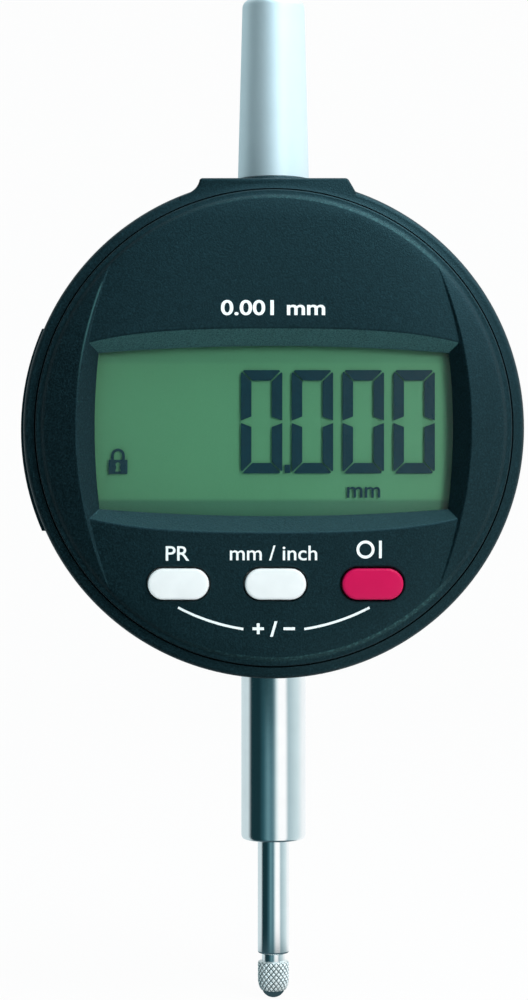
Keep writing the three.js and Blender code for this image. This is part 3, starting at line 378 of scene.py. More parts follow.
def triangles(points, edges):
    """The triangles of a constrained triangulation, and its points, which may be more than were given."""
    scaled = [Vector((a / MM, b / MM)) for a, b in points]
    made = delaunay_2d_cdt(scaled, edges, [], 0, 1e-5)
    return [(p.x * MM, p.y * MM) for p in made[0]], made[2]


def filled(outlines):
    """Flat triangles inside outlines: an outline inside another is a hole."""
    points = []
    edges = []
    for outline in outlines:
        first = len(points)
        points += outline
        edges += [(first + k, first + (k + 1) % len(outline)) for k in range(len(outline))]
    flat, faces = triangles(points, edges)
    kept = []
    for face in faces:
        across = sum(flat[k][0] for k in face) / 3
        height = sum(flat[k][1] for k in face) / 3
        if sum(within(outline, across, height) for outline in outlines) % 2:
            kept.append(face)
    return flat, kept


def level_of(front):
    """A front as a function of across and height, when it is given as a number or as a function."""
    return front if callable(front) else lambda _across, _height: front


class Welder:
    """Gathers faces whose corners are given as points, joining corners at the same place."""

    def __init__(self):
        self.places = {}
        self.points = []
        self.faces = []

    def corner(self, point):
        key = tuple(round(value / SAME_PLACE) for value in point)
        if key not in self.places:
            self.places[key] = len(self.points)
            self.points.append(point)
        return self.places[key]

    def add(self, points, faces):
        for face in faces:
            corners = list(dict.fromkeys(self.corner(points[k]) for k in face))
            if len(corners) > 2:
                self.faces.append(corners)

    def wall(self, loop, from_front, to_front):
        """A wall under a closed loop of [across, height] pairs; each front is a number or a function."""
        start, end = level_of(from_front), level_of(to_front)
        for (a, b), (c, d) in zip(loop, [*loop[1:], loop[0]]):
            corners = [at(a, start(a, b), b), at(c, start(c, d), d)]
            corners += [at(c, end(c, d), d), at(a, end(a, b), b)]
            self.add(corners, [[0, 1, 2, 3]])


def placed(name, data):
    """A new object in the scene."""
    made = bpy.data.objects.new(name, data)
    bpy.context.scene.collection.objects.link(made)
    return made


@contextmanager
def editing(mesh):
    """A mesh's points, edges and faces, written back to it in the end."""
    shape = bmesh.new()
    shape.from_mesh(mesh)
    yield shape
    shape.to_mesh(mesh)
    shape.free()


def mesh_of(name, solid):
    """A solid as a mesh. What is a mesh already stays as it is."""
    if isinstance(solid, bpy.types.Mesh):
        return solid
    points, faces = solid
    mesh = bpy.data.meshes.new(name)
    mesh.from_pydata(points, [], faces)
    with editing(mesh) as shape:
        bmesh.ops.remove_doubles(shape, verts=shape.verts, dist=SAME_PLACE)
        bmesh.ops.recalc_face_normals(shape, faces=shape.faces)
    return mesh


def shaped(name, base, *steps):
    """A mesh that starts as one solid and is joined with, or cut by, each of the others in turn."""
    worker = placed(name, mesh_of(name, base))
    tools = []
    for operation, solid in steps:
        tool = placed("tool", mesh_of("tool", solid))
        change = worker.modifiers.new(operation, "BOOLEAN")
        change.operation = operation
        change.object = tool
        change.solver = "EXACT"
        tools.append(tool)
    result = bpy.data.meshes.new_from_object(worker.evaluated_get(bpy.context.evaluated_depsgraph_get()))
    for used in [worker, *tools]:
        bpy.data.objects.remove(used)
    result.name = name
    return result


def rounded_solid(solid, width, least_angle=40):
    """A solid as a mesh whose edges sharper than an angle are rounded."""
    mesh = mesh_of("rounded", solid)
    with editing(mesh) as shape:
        sharp = [e for e in shape.edges if e.calc_face_angle(0) > math.radians(least_angle)]
        bmesh.ops.bevel(shape, geom=sharp, offset=width, segments=3, affect="EDGES", profile=0.5)
    return mesh


def piece(name, shape, body, slot, stands_for=(), sharp=30.0, finish=None):
    """Makes a solid or mesh a piece that rides on a body, with the finish of a material slot."""
    mesh = mesh_of(name, shape)
    mesh.materials.clear()
    mesh.materials.append(finish or finish_of(slot))
    if sharp:
        mesh.shade_smooth()
        mesh.set_sharp_from_angle(angle=math.radians(sharp))
    made = placed(name, mesh)
    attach(made, body)
    if stands_for:
        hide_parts(*stands_for)
    return made


# Shader recipes
class Socket:
    """A node's output. Python's own operators add Math nodes to it."""

    def __init__(self, recipe, output):
        self.recipe = recipe
        self.output = output

    def __add__(self, other):
        return self.recipe.maths("ADD", self, other)

    def __radd__(self, other):
        return self.recipe.maths("ADD", other, self)

    def __sub__(self, other):
        return self.recipe.maths("SUBTRACT", self, other)

    def __rsub__(self, other):
        return self.recipe.maths("SUBTRACT", other, self)

    def __mul__(self, other):
        return self.recipe.maths("MULTIPLY", self, other)

    def __rmul__(self, other):
        return self.recipe.maths("MULTIPLY", other, self)

    def __truediv__(self, other):
        return self.recipe.maths("DIVIDE", self, other)

    def __lt__(self, other):
        return self.recipe.maths("LESS_THAN", self, other)

    def between(self, low, high):
        """0 below low, 1 above high, and a smooth rise between them."""
        values = {"Value": self, "From Min": low, "From Max": high}
        return self.recipe.node("ShaderNodeMapRange", {"interpolation_type": "SMOOTHSTEP"}, values)


class Recipe:
    """The nodes of a material or of the world."""

    def __init__(self, owner):
        owner.use_nodes = True
        self.tree = owner.node_tree
        self.tree.nodes.clear()

    def node(self, kind, settings=None, inputs=None, output=0):
        """Adds a node: its settings are set first, then the values or links of its sockets."""
        made = self.tree.nodes.new(kind)
        for name, value in (settings or {}).items():
            if name == "stops":
                for stop, (place, colour) in zip(self.stops_of(made, len(value)), value):
                    stop.position = place
                    stop.color = colour
            else:
                setattr(made, name, value)
        for key, value in (inputs or {}).items():
            if isinstance(value, Socket):
                self.tree.links.new(value.output, made.inputs[key])
            else:
                made.inputs[key].default_value = value
        return Socket(self, made.outputs[output]) if made.outputs else None

    @staticmethod
    def stops_of(ramp, count):
        stops = ramp.color_ramp.elements
        while len(stops) < count:
            stops.new(1.0)
        return stops

    def maths(self, operation, *values):
        return self.node("ShaderNodeMath", {"operation": operation}, dict(enumerate(values)))

    def mix(self, factor, first, second):
        """A colour between two colours."""
        return self.node("ShaderNodeMix", {"data_type": "RGBA"}, {0: factor, 6: first, 7: second}, output=2)

    def place(self):
        """The place on the part, in metres, which stays with the piece as it moves."""
        return self.node("ShaderNodeTexCoord", output="Object")

    def part_of(self, vector, name):
        return self.node("ShaderNodeSeparateXYZ", None, {0: vector}, output=name)

    def noise(self, size, detail=2.0, stretch=EVEN):
        """Noise whose cells are about size metres across, stretched along the axes."""
        scaled = self.node("ShaderNodeVectorMath", {"operation": "MULTIPLY"}, {0: self.place(), 1: stretch})
        values = {"Vector": scaled, "Scale": 1.0 / size, "Detail": detail}
        return self.node("ShaderNodeTexNoise", None, values)

    def ray(self, kind):
        return self.node("ShaderNodeLightPath", output=kind)

    def seen(self):
        """1 for what the camera sees, straight or through something clear."""
        return self.maths("MAXIMUM", self.ray("Is Camera Ray"), self.ray("Is Transmission Ray"))

    def bump(self, height, distance):
        return self.node("ShaderNodeBump", None, {"Height": height, "Distance": distance, "Strength": 1.0})

    def surface(self, **inputs):
        """The shader: its inputs' names are written with underscores."""
        named = {name.replace("_", " "): value for name, value in inputs.items()}
        shader = self.node("ShaderNodeBsdfPrincipled", None, named)
        self.node("ShaderNodeOutputMaterial", None, {"Surface": shader})


def full(colour, scale=1.0):
    """A colour with its alpha, made lighter or darker."""
    return (*[min(1.0, value * scale) for value in colour], 1.0)


def colours():
    return bpy.context.scene.indicator_colours


# Heights on the cover are counted in this length
HALF_FACE = 15.0 * MM


def painted_edge_highlights(recipe, place, up):
    """Painted highlights along the cover's edges: the bevel's upper and lower right, and the left wing's
    edge.
    """
    sizes = bpy.context.scene.indicator_cover
    across = recipe.part_of(place, "X")
    height = up * HALF_FACE
    front = 0.0 - recipe.part_of(place, "Y")
    radius = recipe.maths("SQRT", across * across + height * height)
    edge = sizes.bevel_radius
    outside = radius.between(edge + 0.25 * MM, edge + 0.6 * MM)
    band = radius.between(edge - 0.12 * MM, edge) * (1.0 - outside)
    flecks = recipe.noise(0.4 * MM, detail=3.0).between(0.5, 0.66)
    band = band * (0.1 + flecks * 0.2) * (across / edge).between(-0.7, 0.5) * (up * up).between(1.2, 1.9)
    bow = sizes.side_arc
    root = recipe.maths("SQRT", bow * bow - height * height)
    floor = front_of("display_window") + sizes.lip
    reach = right_of("display_window") - sizes.window_border
    past = (0.0 - across) - (root + (reach - bow)) - (front - floor)
    line = past.between(0.02 * MM, 0.1 * MM) * (1.0 - past.between(0.16 * MM, 0.36 * MM))
    line = line * (1.0 - radius.between(edge - 0.6 * MM, edge)) * up.between(0.2, 0.85)
    return band * front.between(11.7 * MM, 12.0 * MM) + line * front.between(12.8 * MM, 13.0 * MM) * 0.36


def case_plastic(recipe):
    """Moulded plastic: a fine sparked grain with a few light specks, and a coarser one on the bevels with
    painted light.
    """
    colour = colours().plastic
    place = recipe.place()
    grain = recipe.noise(0.2 * MM, detail=3.0)
    cloud = recipe.noise(7.0 * MM)
    speck = recipe.noise(0.3 * MM, detail=0.0).between(0.68, 0.76)
    lean = recipe.part_of(recipe.node("ShaderNodeTexCoord", output="Normal"), "Z")
    # Painted light: the recess's bevels are painted lighter, fully where they face down and a quarter as
    # much where they face up
    painted_light_by_facing = (0.0 - lean).between(0.45, 0.62) + lean.between(0.45, 0.62) * 0.25
    in_front = (0.0 - recipe.part_of(place, "Y")).between(11.6 * MM, 12.0 * MM)
    up = (recipe.part_of(place, "Z") - CENTRE) / HALF_FACE
    recess = painted_light_by_facing * in_front * (1.0 - (up * up).between(0.85, 1.0))
    coarse = recipe.noise(0.15 * MM, detail=2.0).between(0.1, 0.72)
    base = recipe.mix(grain.between(0.36, 0.66), full(colour, 0.55), full(colour, 1.55))
    base = recipe.mix(speck * 0.35, base, full(colour, 3.2))
    base = recipe.mix(recess * coarse, base, full(colours().bevel_grain_painted_light))
    # Painted highlights along the cover's edges, lighter than the bevels' colour
    base = recipe.mix(painted_edge_highlights(recipe, place, up), base, full(colours().bevel_grain_painted_light, 2.2))
    recipe.surface(
        Base_Color=base,
        Roughness=0.4 + cloud * 0.08 + grain * 0.1,
        Specular_Tint=full(colours().plastic_gloss),
        Normal=recipe.bump(grain, 0.04 * MM),
    )


def satin_aluminium(recipe):
    """Blasted and anodised aluminium: a soft, nearly matt sheen with faint rings."""
    colour = colours().aluminium
    rings = recipe.noise(0.05 * MM, detail=1.0, stretch=ROUND_THE_SPINDLE)
    cloud = recipe.noise(3.0 * MM)
    recipe.surface(
        Base_Color=recipe.mix(cloud, full(colour, 0.97), full(colour, 1.02)),
        Metallic=0.68,
        Roughness=0.44 + rings * 0.08,
        Normal=recipe.bump(rings, 0.001 * MM),
    )


def ground(recipe, colour, roughness, stretch):
    """Ground metal: fine lines across one axis and slight changes of gloss."""
    lines = recipe.noise(0.03 * MM, detail=1.0, stretch=stretch)
    cloud = recipe.noise(2.2 * MM)
    recipe.surface(
        Base_Color=recipe.mix(cloud, full(colour, 0.94), full(colour, 1.04)),
        Metallic=1.0,
        Roughness=roughness + lines * 0.08,
        Normal=recipe.bump(lines, 0.0008 * MM),
    )


def ground_steel(recipe):
    ground(recipe, colours().steel, 0.1, ROUND_THE_SPINDLE)


def knurled_steel(recipe):
    """Bright satin steel, with painted shade in the grooves between its diamonds."""
    sizes = bpy.context.scene.indicator_spindle
    bottom, top = barrel_ends()
    place = recipe.place()
    across = recipe.part_of(place, "X")
    front = 0.0 - recipe.part_of(place, "Y")
    around = recipe.maths("ARCTAN2", front, across) * (sizes.knurl_columns / (2 * math.pi))
    along = (recipe.part_of(place, "Z") - CENTRE - bottom) / (top - bottom)
    up = along * sizes.knurl_rows
    lines = [recipe.maths("PINGPONG", way, 0.5) for way in (around + up, around - up)]
    # Painted shade: the grooves between the diamonds are painted dark, fading out at the barrel's top end
    groove = 1.0 - recipe.maths("MINIMUM", *lines).between(0.04, 0.2)
    groove = groove * (1.0 - along.between(0.97, 1.0))
    wear = recipe.noise(0.25 * MM, detail=3.0)
    bright = recipe.mix(wear, (0.80, 0.86, 0.86, 1), (0.97, 0.97, 0.95, 1))
    recipe.surface(
        Base_Color=recipe.mix(groove * 0.9, bright, (0.02, 0.05, 0.055, 1)),
        Metallic=0.4,
        Roughness=0.28 + wear * 0.14,
    )


# Metals without marks of their own: colour, roughness and the stretch of their lines
METALS = {
    "hard_ball": ((0.62, 0.62, 0.61), 0.06, EVEN),
    "screw_steel": ((0.35, 0.36, 0.37), 0.28, EVEN),
    "spring_steel": ((0.60, 0.61, 0.62), 0.2, EVEN),
    "cell_steel": ((0.66, 0.67, 0.66), 0.24, (1.0, 0.03, 1.0)),
}


def cast_alloy(recipe):
    """Die-cast alloy: a dull grey skin with soft flow marks."""
    flow = recipe.noise(2.6 * MM, detail=4.0, stretch=(1.0, 1.0, 0.35))
    grain = recipe.noise(0.12 * MM)
    recipe.surface(
        Base_Color=recipe.mix(flow, (0.30, 0.31, 0.31, 1), (0.46, 0.47, 0.47, 1)),
        Metallic=0.85,
        Roughness=0.42 + grain * 0.16,
        Normal=recipe.bump(grain, 0.012 * MM),
    )


def bush_bronze(recipe):
    """Sintered bronze: warm, with fine dark pores."""
    pores = recipe.noise(0.1 * MM).between(0.3, 0.42)
    recipe.surface(
        Base_Color=recipe.mix(pores, (0.16, 0.09, 0.035, 1), (0.50, 0.31, 0.13, 1)),
        Metallic=0.9,
        Roughness=0.55 - pores * 0.2,
        Normal=recipe.bump(pores, 0.006 * MM),
    )


def black_rubber(recipe):
    """Moulded rubber with a dusty bloom."""
    bloom = recipe.noise(0.9 * MM, detail=4.0)
    grain = recipe.noise(0.08 * MM)
    recipe.surface(
        Base_Color=recipe.mix(bloom, (0.010, 0.011, 0.012, 1), (0.035, 0.036, 0.037, 1)),
        Roughness=0.68 + grain * 0.18,
        Normal=recipe.bump(grain, 0.01 * MM),
    )


def clear_window(recipe):
    """A clear sheet: light passes straight through, and its face reflects more at grazing angles."""
    rim = recipe.node("ShaderNodeFresnel", None, {"IOR": 1.45})
    smear = recipe.noise(5.0 * MM, detail=3.0)
    clear = recipe.node("ShaderNodeBsdfTransparent", None, {"Color": (0.965, 0.985, 0.975, 1)})
    shine = recipe.node("ShaderNodeBsdfGlossy", None, {"Roughness": 0.05 + smear * 0.03})
    whole = recipe.node("ShaderNodeMixShader", None, {0: rim * 0.5, 1: clear, 2: shine})
    recipe.node("ShaderNodeOutputMaterial", None, {"Surface": whole})


def crystal_glass(recipe):
    """The display's green reflector, with darker long edges and a painted shadow along its right edge."""
    sizes = bpy.context.scene.indicator_readout
    colour = colours().reflector
    place = recipe.place()
    height = recipe.part_of(place, "Z")
    # The colour of the darker edge bands, and of the painted shadow along the right edge
    seal = full(colours().edge_bands_and_shadow)
    cover = bpy.context.scene.indicator_cover
    middle = CENTRE - cover.window_drop
    reach = recipe.maths("ABSOLUTE", height - middle)
    edge = top_of("crystal_panel") + CENTRE - middle - sizes.band
    dark = reach.between(edge - 0.35 * MM, edge + 0.25 * MM)
    weave = recipe.noise(0.22 * MM, detail=3.0)
    cloud = recipe.noise(6.0 * MM)
    base = recipe.mix(weave, full(colour, 0.90), full(colour, 1.10))
    base = recipe.mix(cloud * 0.35, base, full(colour, 1.16))
    low = (middle - height).between(0.0, MM)
    base = recipe.mix(dark * (0.18 + low * 0.36), base, seal)
    # Painted shadow: darker towards the right edge
    end = right_of("display_window") - cover.window_border
    base = recipe.mix(recipe.part_of(place, "X").between(end - 1.5 * MM, end) * 0.6, base, seal)
    recipe.surface(Base_Color=base, Roughness=0.42 + weave * 0.1, Specular_IOR_Level=0.2)


def segment_ink(recipe):
    colour = colours().segment
    cloud = recipe.noise(0.5 * MM)
    recipe.surface(
        Base_Color=recipe.mix(cloud, full(colour, 0.85), full(colour, 1.2)),
        Roughness=0.35 + cloud * 0.1,
        Specular_IOR_Level=0.2,
    )


def scale_glass(recipe):
    """The glass scale: a fine row of dark lines across it."""
    height = recipe.part_of(recipe.place(), "Z")
    line = recipe.maths("FRACT", height / (0.5 * MM)).between(0.46, 0.54)
    recipe.surface(
        Base_Color=recipe.mix(line, (0.10, 0.16, 0.15, 1), (0.45, 0.62, 0.58, 1)),
        Metallic=0.2,
        Roughness=0.08 + line * 0.1,
    )


def circuit_board(recipe):
    """Green board with tracks under the mask and small tinned pads."""
    place = recipe.place()
    across = recipe.part_of(place, "X")
    height = recipe.part_of(place, "Z")
    run = recipe.noise(1.6 * MM, detail=0.0)
    bent = recipe.maths("FRACT", (height + run * (1.2 * MM)) / (0.8 * MM))
    track = bent.between(0.40, 0.46) - bent.between(0.62, 0.68)
    pitch = 1.9 * MM
    pad = (recipe.maths("FRACT", across / pitch) < 0.22) * (recipe.maths("FRACT", height / pitch) < 0.3)
    base = recipe.mix(track, (0.010, 0.060, 0.030, 1), (0.022, 0.120, 0.055, 1))
    recipe.surface(
        Base_Color=recipe.mix(pad, base, (0.62, 0.62, 0.60, 1)),
        Metallic=pad * 0.9,
        Roughness=0.38 - pad * 0.1,
        Normal=recipe.bump(track, 0.03 * MM),
    )


def chip_plastic(recipe):
    """Black moulding compound with a fine sandy skin."""
    grain = recipe.noise(0.07 * MM, detail=3.0)
    recipe.surface(
        Base_Color=recipe.mix(grain, (0.008, 0.008, 0.009, 1), (0.024, 0.024, 0.026, 1)),
        Roughness=0.5 + grain * 0.15,
        Normal=recipe.bump(grain, 0.01 * MM),
    )


def moulded_button(recipe, colour, gloss=0.5):
    """Smooth button plastic: a soft gloss with very slight unevenness."""
    cloud = recipe.noise(1.8 * MM)
    grain = recipe.noise(0.12 * MM)
    recipe.surface(
        Base_Color=recipe.mix(cloud, full(colour, 0.95), full(colour, 1.04)),
        Roughness=0.3 + cloud * 0.08 + grain * 0.04,
        Specular_IOR_Level=gloss,
        Normal=recipe.bump(grain, 0.002 * MM),
    )


def white_button(recipe):
    moulded_button(recipe, colours().white_button)


def red_button(recipe):
    moulded_button(recipe, colours().red_button, gloss=0.2)


def printed_mark(recipe):
    """White print, slightly thinner in places."""
    wear = recipe.noise(0.25 * MM, detail=3.0).between(0.25, 0.4)
    base = recipe.mix(wear, full(colours().ink, 0.8), full(colours().ink))
    recipe.surface(Base_Color=base, Roughness=0.5 + wear * 0.05)


FINISHES = (
    case_plastic,
    satin_aluminium,
    ground_steel,
    knurled_steel,
    cast_alloy,
    bush_bronze,
    black_rubber,
    clear_window,
    crystal_glass,
    segment_ink,
    scale_glass,
    circuit_board,
    chip_plastic,
    white_button,
    red_button,
    printed_mark,
)


def finish_of(name):
    """The material of that name, made when it is first asked for."""
    made = bpy.data.materials.get(f"{name}_finish")
    if made is None:
        made = bpy.data.materials.new(f"{name}_finish")
        if name in METALS:
            ground(Recipe(made), *METALS[name])
        else:
            next(finish for finish in FINISHES if finish.__name__ == name)(Recipe(made))
    return made


def dress(finish, *nodes):
    """Gives packed solids a finish."""
    for node in nodes:
        slots = frame["nodes"][node].data.materials
        slots.clear()
        slots.append(finish_of(finish))


# The front cover's face
def least(first, second, blend):
    """The smaller of two fronts, with a soft edge where they meet."""
    return min(first, second) - max(blend - abs(first - second), 0.0) ** 2 / (4 * blend)


def most(first, second, blend):
    return -least(-first, -second, blend)


class CoverFace:
    """The face's front at any place, and the lines where its parts meet."""

    def __init__(self, sizes):
        self.sizes = sizes
        self.radius = right_of("front_cover")
        self.floor = front_of("display_window") + sizes.lip
        self.side_reach = right_of("display_window") - sizes.window_border
        self.buttons = [middle_of(f"{name}_switch") for name in BUTTONS]
        self.hole_width = bpy.context.scene.indicator_buttons.width + 2 * sizes.hole_gap
        self.hole_height = bpy.context.scene.indicator_buttons.height + 2 * sizes.hole_gap

    def dome(self, radius, dome_radius):
        sizes = self.sizes
        edge = math.sqrt(dome_radius**2 - sizes.bevel_radius**2)
        return sizes.edge_front + math.sqrt(dome_radius**2 - min(radius, dome_radius) ** 2) - edge

    def wing(self, across, height):
        return self.dome(math.hypot(across, height), self.sizes.wing_dome)

    def panel(self, across, height):
        radius = math.hypot(across, height)
        inside = 1 - (radius / self.sizes.bevel_radius) ** 2
        lift = self.sizes.panel_lift * inside * (across / self.side_reach) ** 2
        return self.dome(radius, self.sizes.panel_dome) + lift

    def bevel(self, radius):
        """The bevel round the face, and the flatter ring outside it."""
        sizes = self.sizes
        past = radius - sizes.bevel_radius
        ring = past * sizes.ring_drop / (self.radius - sizes.bevel_radius)
        return most(sizes.edge_front - past, sizes.edge_front - sizes.bevel_drop - ring, sizes.blend / 2)

    def strip(self, height):
        """Half width of the sunk strip at a height."""
        arc = self.sizes.side_arc
        return self.side_reach - arc + math.sqrt(arc**2 - height**2)

    def band(self, across):
        """Half height of the window's recess at a distance from the middle."""
        sizes = self.sizes
        reach = self.strip(sizes.window_half_height)
        return sizes.window_half_height + sizes.window_bow * (1 - (across / reach) ** 2)

    def past_band(self, across, height):
        return abs(height + self.sizes.window_drop) - self.band(across)

    def past_strip(self, across, height):
        return abs(across) - self.strip(height)

    def past_hole(self, across, height):
        """Distance outside the nearest button hole."""
        reach = (self.hole_width - self.hole_height) / 2
        nearest = 1.0
        for middle, row in self.buttons:
            along = max(abs(across - middle) - reach, 0.0)
            nearest = min(nearest, math.hypot(along, height - row) - self.hole_height / 2)
        return nearest

    def front(self, across, height):
        blend = self.sizes.blend
        radius = math.hypot(across, height)
        recess = self.floor + self.past_band(across, height)
        sunk = least(self.panel(across, height), recess, blend)
        side = self.floor + self.past_strip(across, height)
        top = least(self.wing(across, height), most(side, sunk, blend / 2), blend)
        top = least(top, self.bevel(radius), blend / 2)
        edge = max(blend - (self.radius - radius), 0.0) ** 2 / (2 * blend)
        hole = max(blend - max(self.past_hole(across, height), 0.0), 0.0) ** 2 / (2 * blend)
        window = max(self.past_strip(across, height), self.past_band(across, height), 0.0)
        lip = max(self.sizes.lip - window, 0.0) ** 2 / (2 * self.sizes.lip)
        return top - edge - hole - lip

    def normal(self, across, height):
        step = 0.002 * MM
        slope_across = (self.front(across + step, height) - self.front(across - step, height)) / (2 * step)
        slope_height = (self.front(across, height + step) - self.front(across, height - step)) / (2 * step)
        return Vector((-slope_across, -1.0, -slope_height)).normalized()

    def panel_rise(self, across, height):
        return self.panel(across, height) - self.floor

    def corner(self, up):
        """Where the strip's side meets the window's long edge on the floor: up is 1 or -1."""
        height = up * self.sizes.window_half_height
        for _ in range(12):
            across = self.strip(height)
            height = up * self.band(across) - self.sizes.window_drop
        return across, height

    def mitre(self, up):
        """Where the recess's bevels and the panel meet, outside a corner."""
        across, height = self.corner(up)
        for _ in range(24):
            rise = self.panel_rise(across, height)
            across = self.strip(height) + rise
            height = up * (self.band(across) + rise) - self.sizes.window_drop
        return across, height

    def side_line(self, level, heights):
        """Where the strip's flared side meets a dome, at each height."""
        line = []
        for height in heights:
            rise = 0.0
            for _ in range(24):
                rise = level(self.strip(height) + rise, height) - self.floor
            line.append((self.strip(height) + rise, height))
        return line

    def long_line(self, up, rise_of, acrosses):
        """Along the recess's upper or lower edge, at each distance from the middle."""
        line = []
        for across in acrosses:
            height = up * self.band(across) - self.sizes.window_drop
            for _ in range(24):
                height = up * (self.band(across) + rise_of(across, height)) - self.sizes.window_drop
            line.append((across, height))
        return line

    def end_height(self):
        """The height where the wing's edge runs out into the bevel."""
        low, high = 0.0, self.sizes.bevel_radius
        for _ in range(40):
            middle = (low + high) / 2
            across = self.side_line(self.wing, [middle])[0][0]
            if math.hypot(across, middle) < self.sizes.bevel_radius:
                low = middle
            else:
                high = middle
        return low

    def window(self):
        """The outline of the window's opening, on the recess's floor."""
        outline = []
        ups = {up: self.corner(up) for up in (1, -1)}
        for side in (1, -1):
            low, high = (ups[-1][1], ups[1][1]) if side > 0 else (ups[1][1], ups[-1][1])
            outline += [(side * self.strip(h), h) for h in spread(low, high, 40)[:-1]]
            end = side * ups[side][0]
            outline += self.long_line(side, level_of(0.0), spread(end, -end, 80)[:-1])
        return outline

    def edge_lines(self):
        """The lines along which two faces of the cover meet."""
        end = self.end_height()
        lines = []
        wing = self.side_line(self.wing, spread(-end, end, 80))
        for up in (1, -1):
            across, height = self.mitre(up)
            side = self.side_line(self.panel, spread(height, up * end, 24))
            lines += [side, [(-a, h) for a, h in side]]
            lines.append(self.long_line(up, self.panel_rise, spread(-across, across, 90)))
            start = self.corner(up)
            mitre = [tuple(Vector(start).lerp((across, height), t)) for t in spread(0.0, 1.0, 6)]
            lines += [mitre, [(-a, h) for a, h in mitre]]
        return [*lines, wing, [(-a, h) for a, h in wing]]


def beside(line, distance):
    """A line moved sideways by a distance."""
    moved = []
    for k, here in enumerate(line):
        along = Vector(line[min(k + 1, len(line) - 1)]) - Vector(line[max(k - 1, 0)])
        sideways = Vector((-along.y, along.x)).normalized() * distance
        moved.append((here[0] + sideways.x, here[1] + sideways.y))
    return moved


BUTTONS = {"preset": "white_button", "unit": "white_button", "power": "red_button"}


def middle_of(node):
    low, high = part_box(node)
    return (low.x + high.x) / 2, (low.z + high.z) / 2 - CENTRE


# Rows of points across a soft edge, as parts of its width
EASING = (0.0, 0.3, 0.6, 1.0)


def face_mesh(face):
    """The cover's face as flat points and triangles, dense where its parts meet."""
    sizes = face.sizes
    rows = [sizes.blend * part for part in (0.0, 0.25, -0.25, 0.55, -0.55, 1.0, -1.0)]
    lines = [beside(line, row) if row else line for line in face.edge_lines() for row in rows]
    rings = [sizes.bevel_radius + step + row / 2 for step in (0.0, sizes.bevel_drop) for row in rows]
    rings += [face.radius - sizes.blend * part for part in EASING]
    loops = [circle(radius, sizes.sides) for radius in rings]
    loops.append(face.window())
    lines += [beside(loops[-1], -sizes.lip * part) for part in (0.35, 0.7, 1.0)]
    for across, height in face.buttons:
        for part in EASING:
            grown = 2 * sizes.blend * part
            loops.append(stadium(face.hole_width + grown, face.hole_height + grown, across, height))
    points = []
    edges = []
    for line in [*lines, *loops]:
        kept = [p for p in line if math.hypot(*p) <= face.radius + 1e-9]
        first = len(points)
        points += kept
        edges += [(first + k, first + k + 1) for k in range(len(kept) - 1)]
        if line in loops:
            edges.append((first + len(kept) - 1, first))
    near = kdtree.KDTree(len(points))
    for k, (across, height) in enumerate(points):
        near.insert((across, height, 0.0), k)
    near.balance()
    step = 0.75 * MM
    room = 0.35 * MM
    count = int(face.radius / step) + 1
    for i in range(-count, count + 1):
        for k in range(-count, count + 1):
            spot = ((i + 0.5 * (k % 2)) * step, k * step * 0.866)
            if math.hypot(*spot) < face.radius and near.find((*spot, 0.0))[2] > room:
                points.append(spot)
    flat, faces = triangles(points, edges)
    kept = []
    for corners in faces:
        across = sum(flat[k][0] for k in corners) / 3
        height = sum(flat[k][1] for k in corners) / 3
        in_window = face.past_strip(across, height) < 0 and face.past_band(across, height) < 0
        if not in_window and face.past_hole(across, height) > 0:
            kept.append(corners)
    return flat, kept


def open_loops(faces):
    """The closed loops of edges that belong to one face only."""
    after = {}
    for corners in faces:
        for a, b in zip(corners, [*corners[1:], corners[0]]):
            after[(a, b)] = True
    following = {a: b for a, b in after if (b, a) not in after}
    loops = []
    while following:
        start, here = following.popitem()
        loop = [start]
        while here != start:
            loop.append(here)
            here = following.pop(here)
        loops.append(loop)
    return loops


def skirt_profile(face):
    """The cover's skirt below its rim, with the grooves for the seal and the ring, as [radius, front]."""
    outer = face.radius
    seat = front_of("housing") - 1.0 * MM
    skirt = right_of("display_circlip") - 0.2 * MM
    lower = skirt - 1.2 * MM
    cavity = lower - 1.3 * MM
    low = back_of("display_board") - 1.1 * MM
    seal = (front_of("display_seal") + back_of("display_seal")) / 2
    seal_groove = skirt - 1.0 * MM
    seal_back, seal_front = seal - 0.6 * MM, seal + 0.6 * MM
    ring_groove = lower - 0.6 * MM
    ring_back = back_of("display_circlip") - 0.1 * MM
    ring_front = front_of("display_circlip") + 0.1 * MM
    ledge = front_of("display_circlip") + 1.1 * MM + 0.4 * MM
    return [
        (outer, face.front(outer, 0.0)),
        (outer, seat),
        (skirt, seat),
        (skirt, seal_front),
        (seal_groove, seal_front),
        (seal_groove, seal_back),
        (skirt, seal_back),
        (skirt, ledge),
        (lower, ledge),
        (lower, ring_front),
        (ring_groove, ring_front),
        (ring_groove, ring_back),
        (lower, ring_back),
        (lower, low),
        (cavity, low),
        (cavity, back_of("display_window")),
    ]


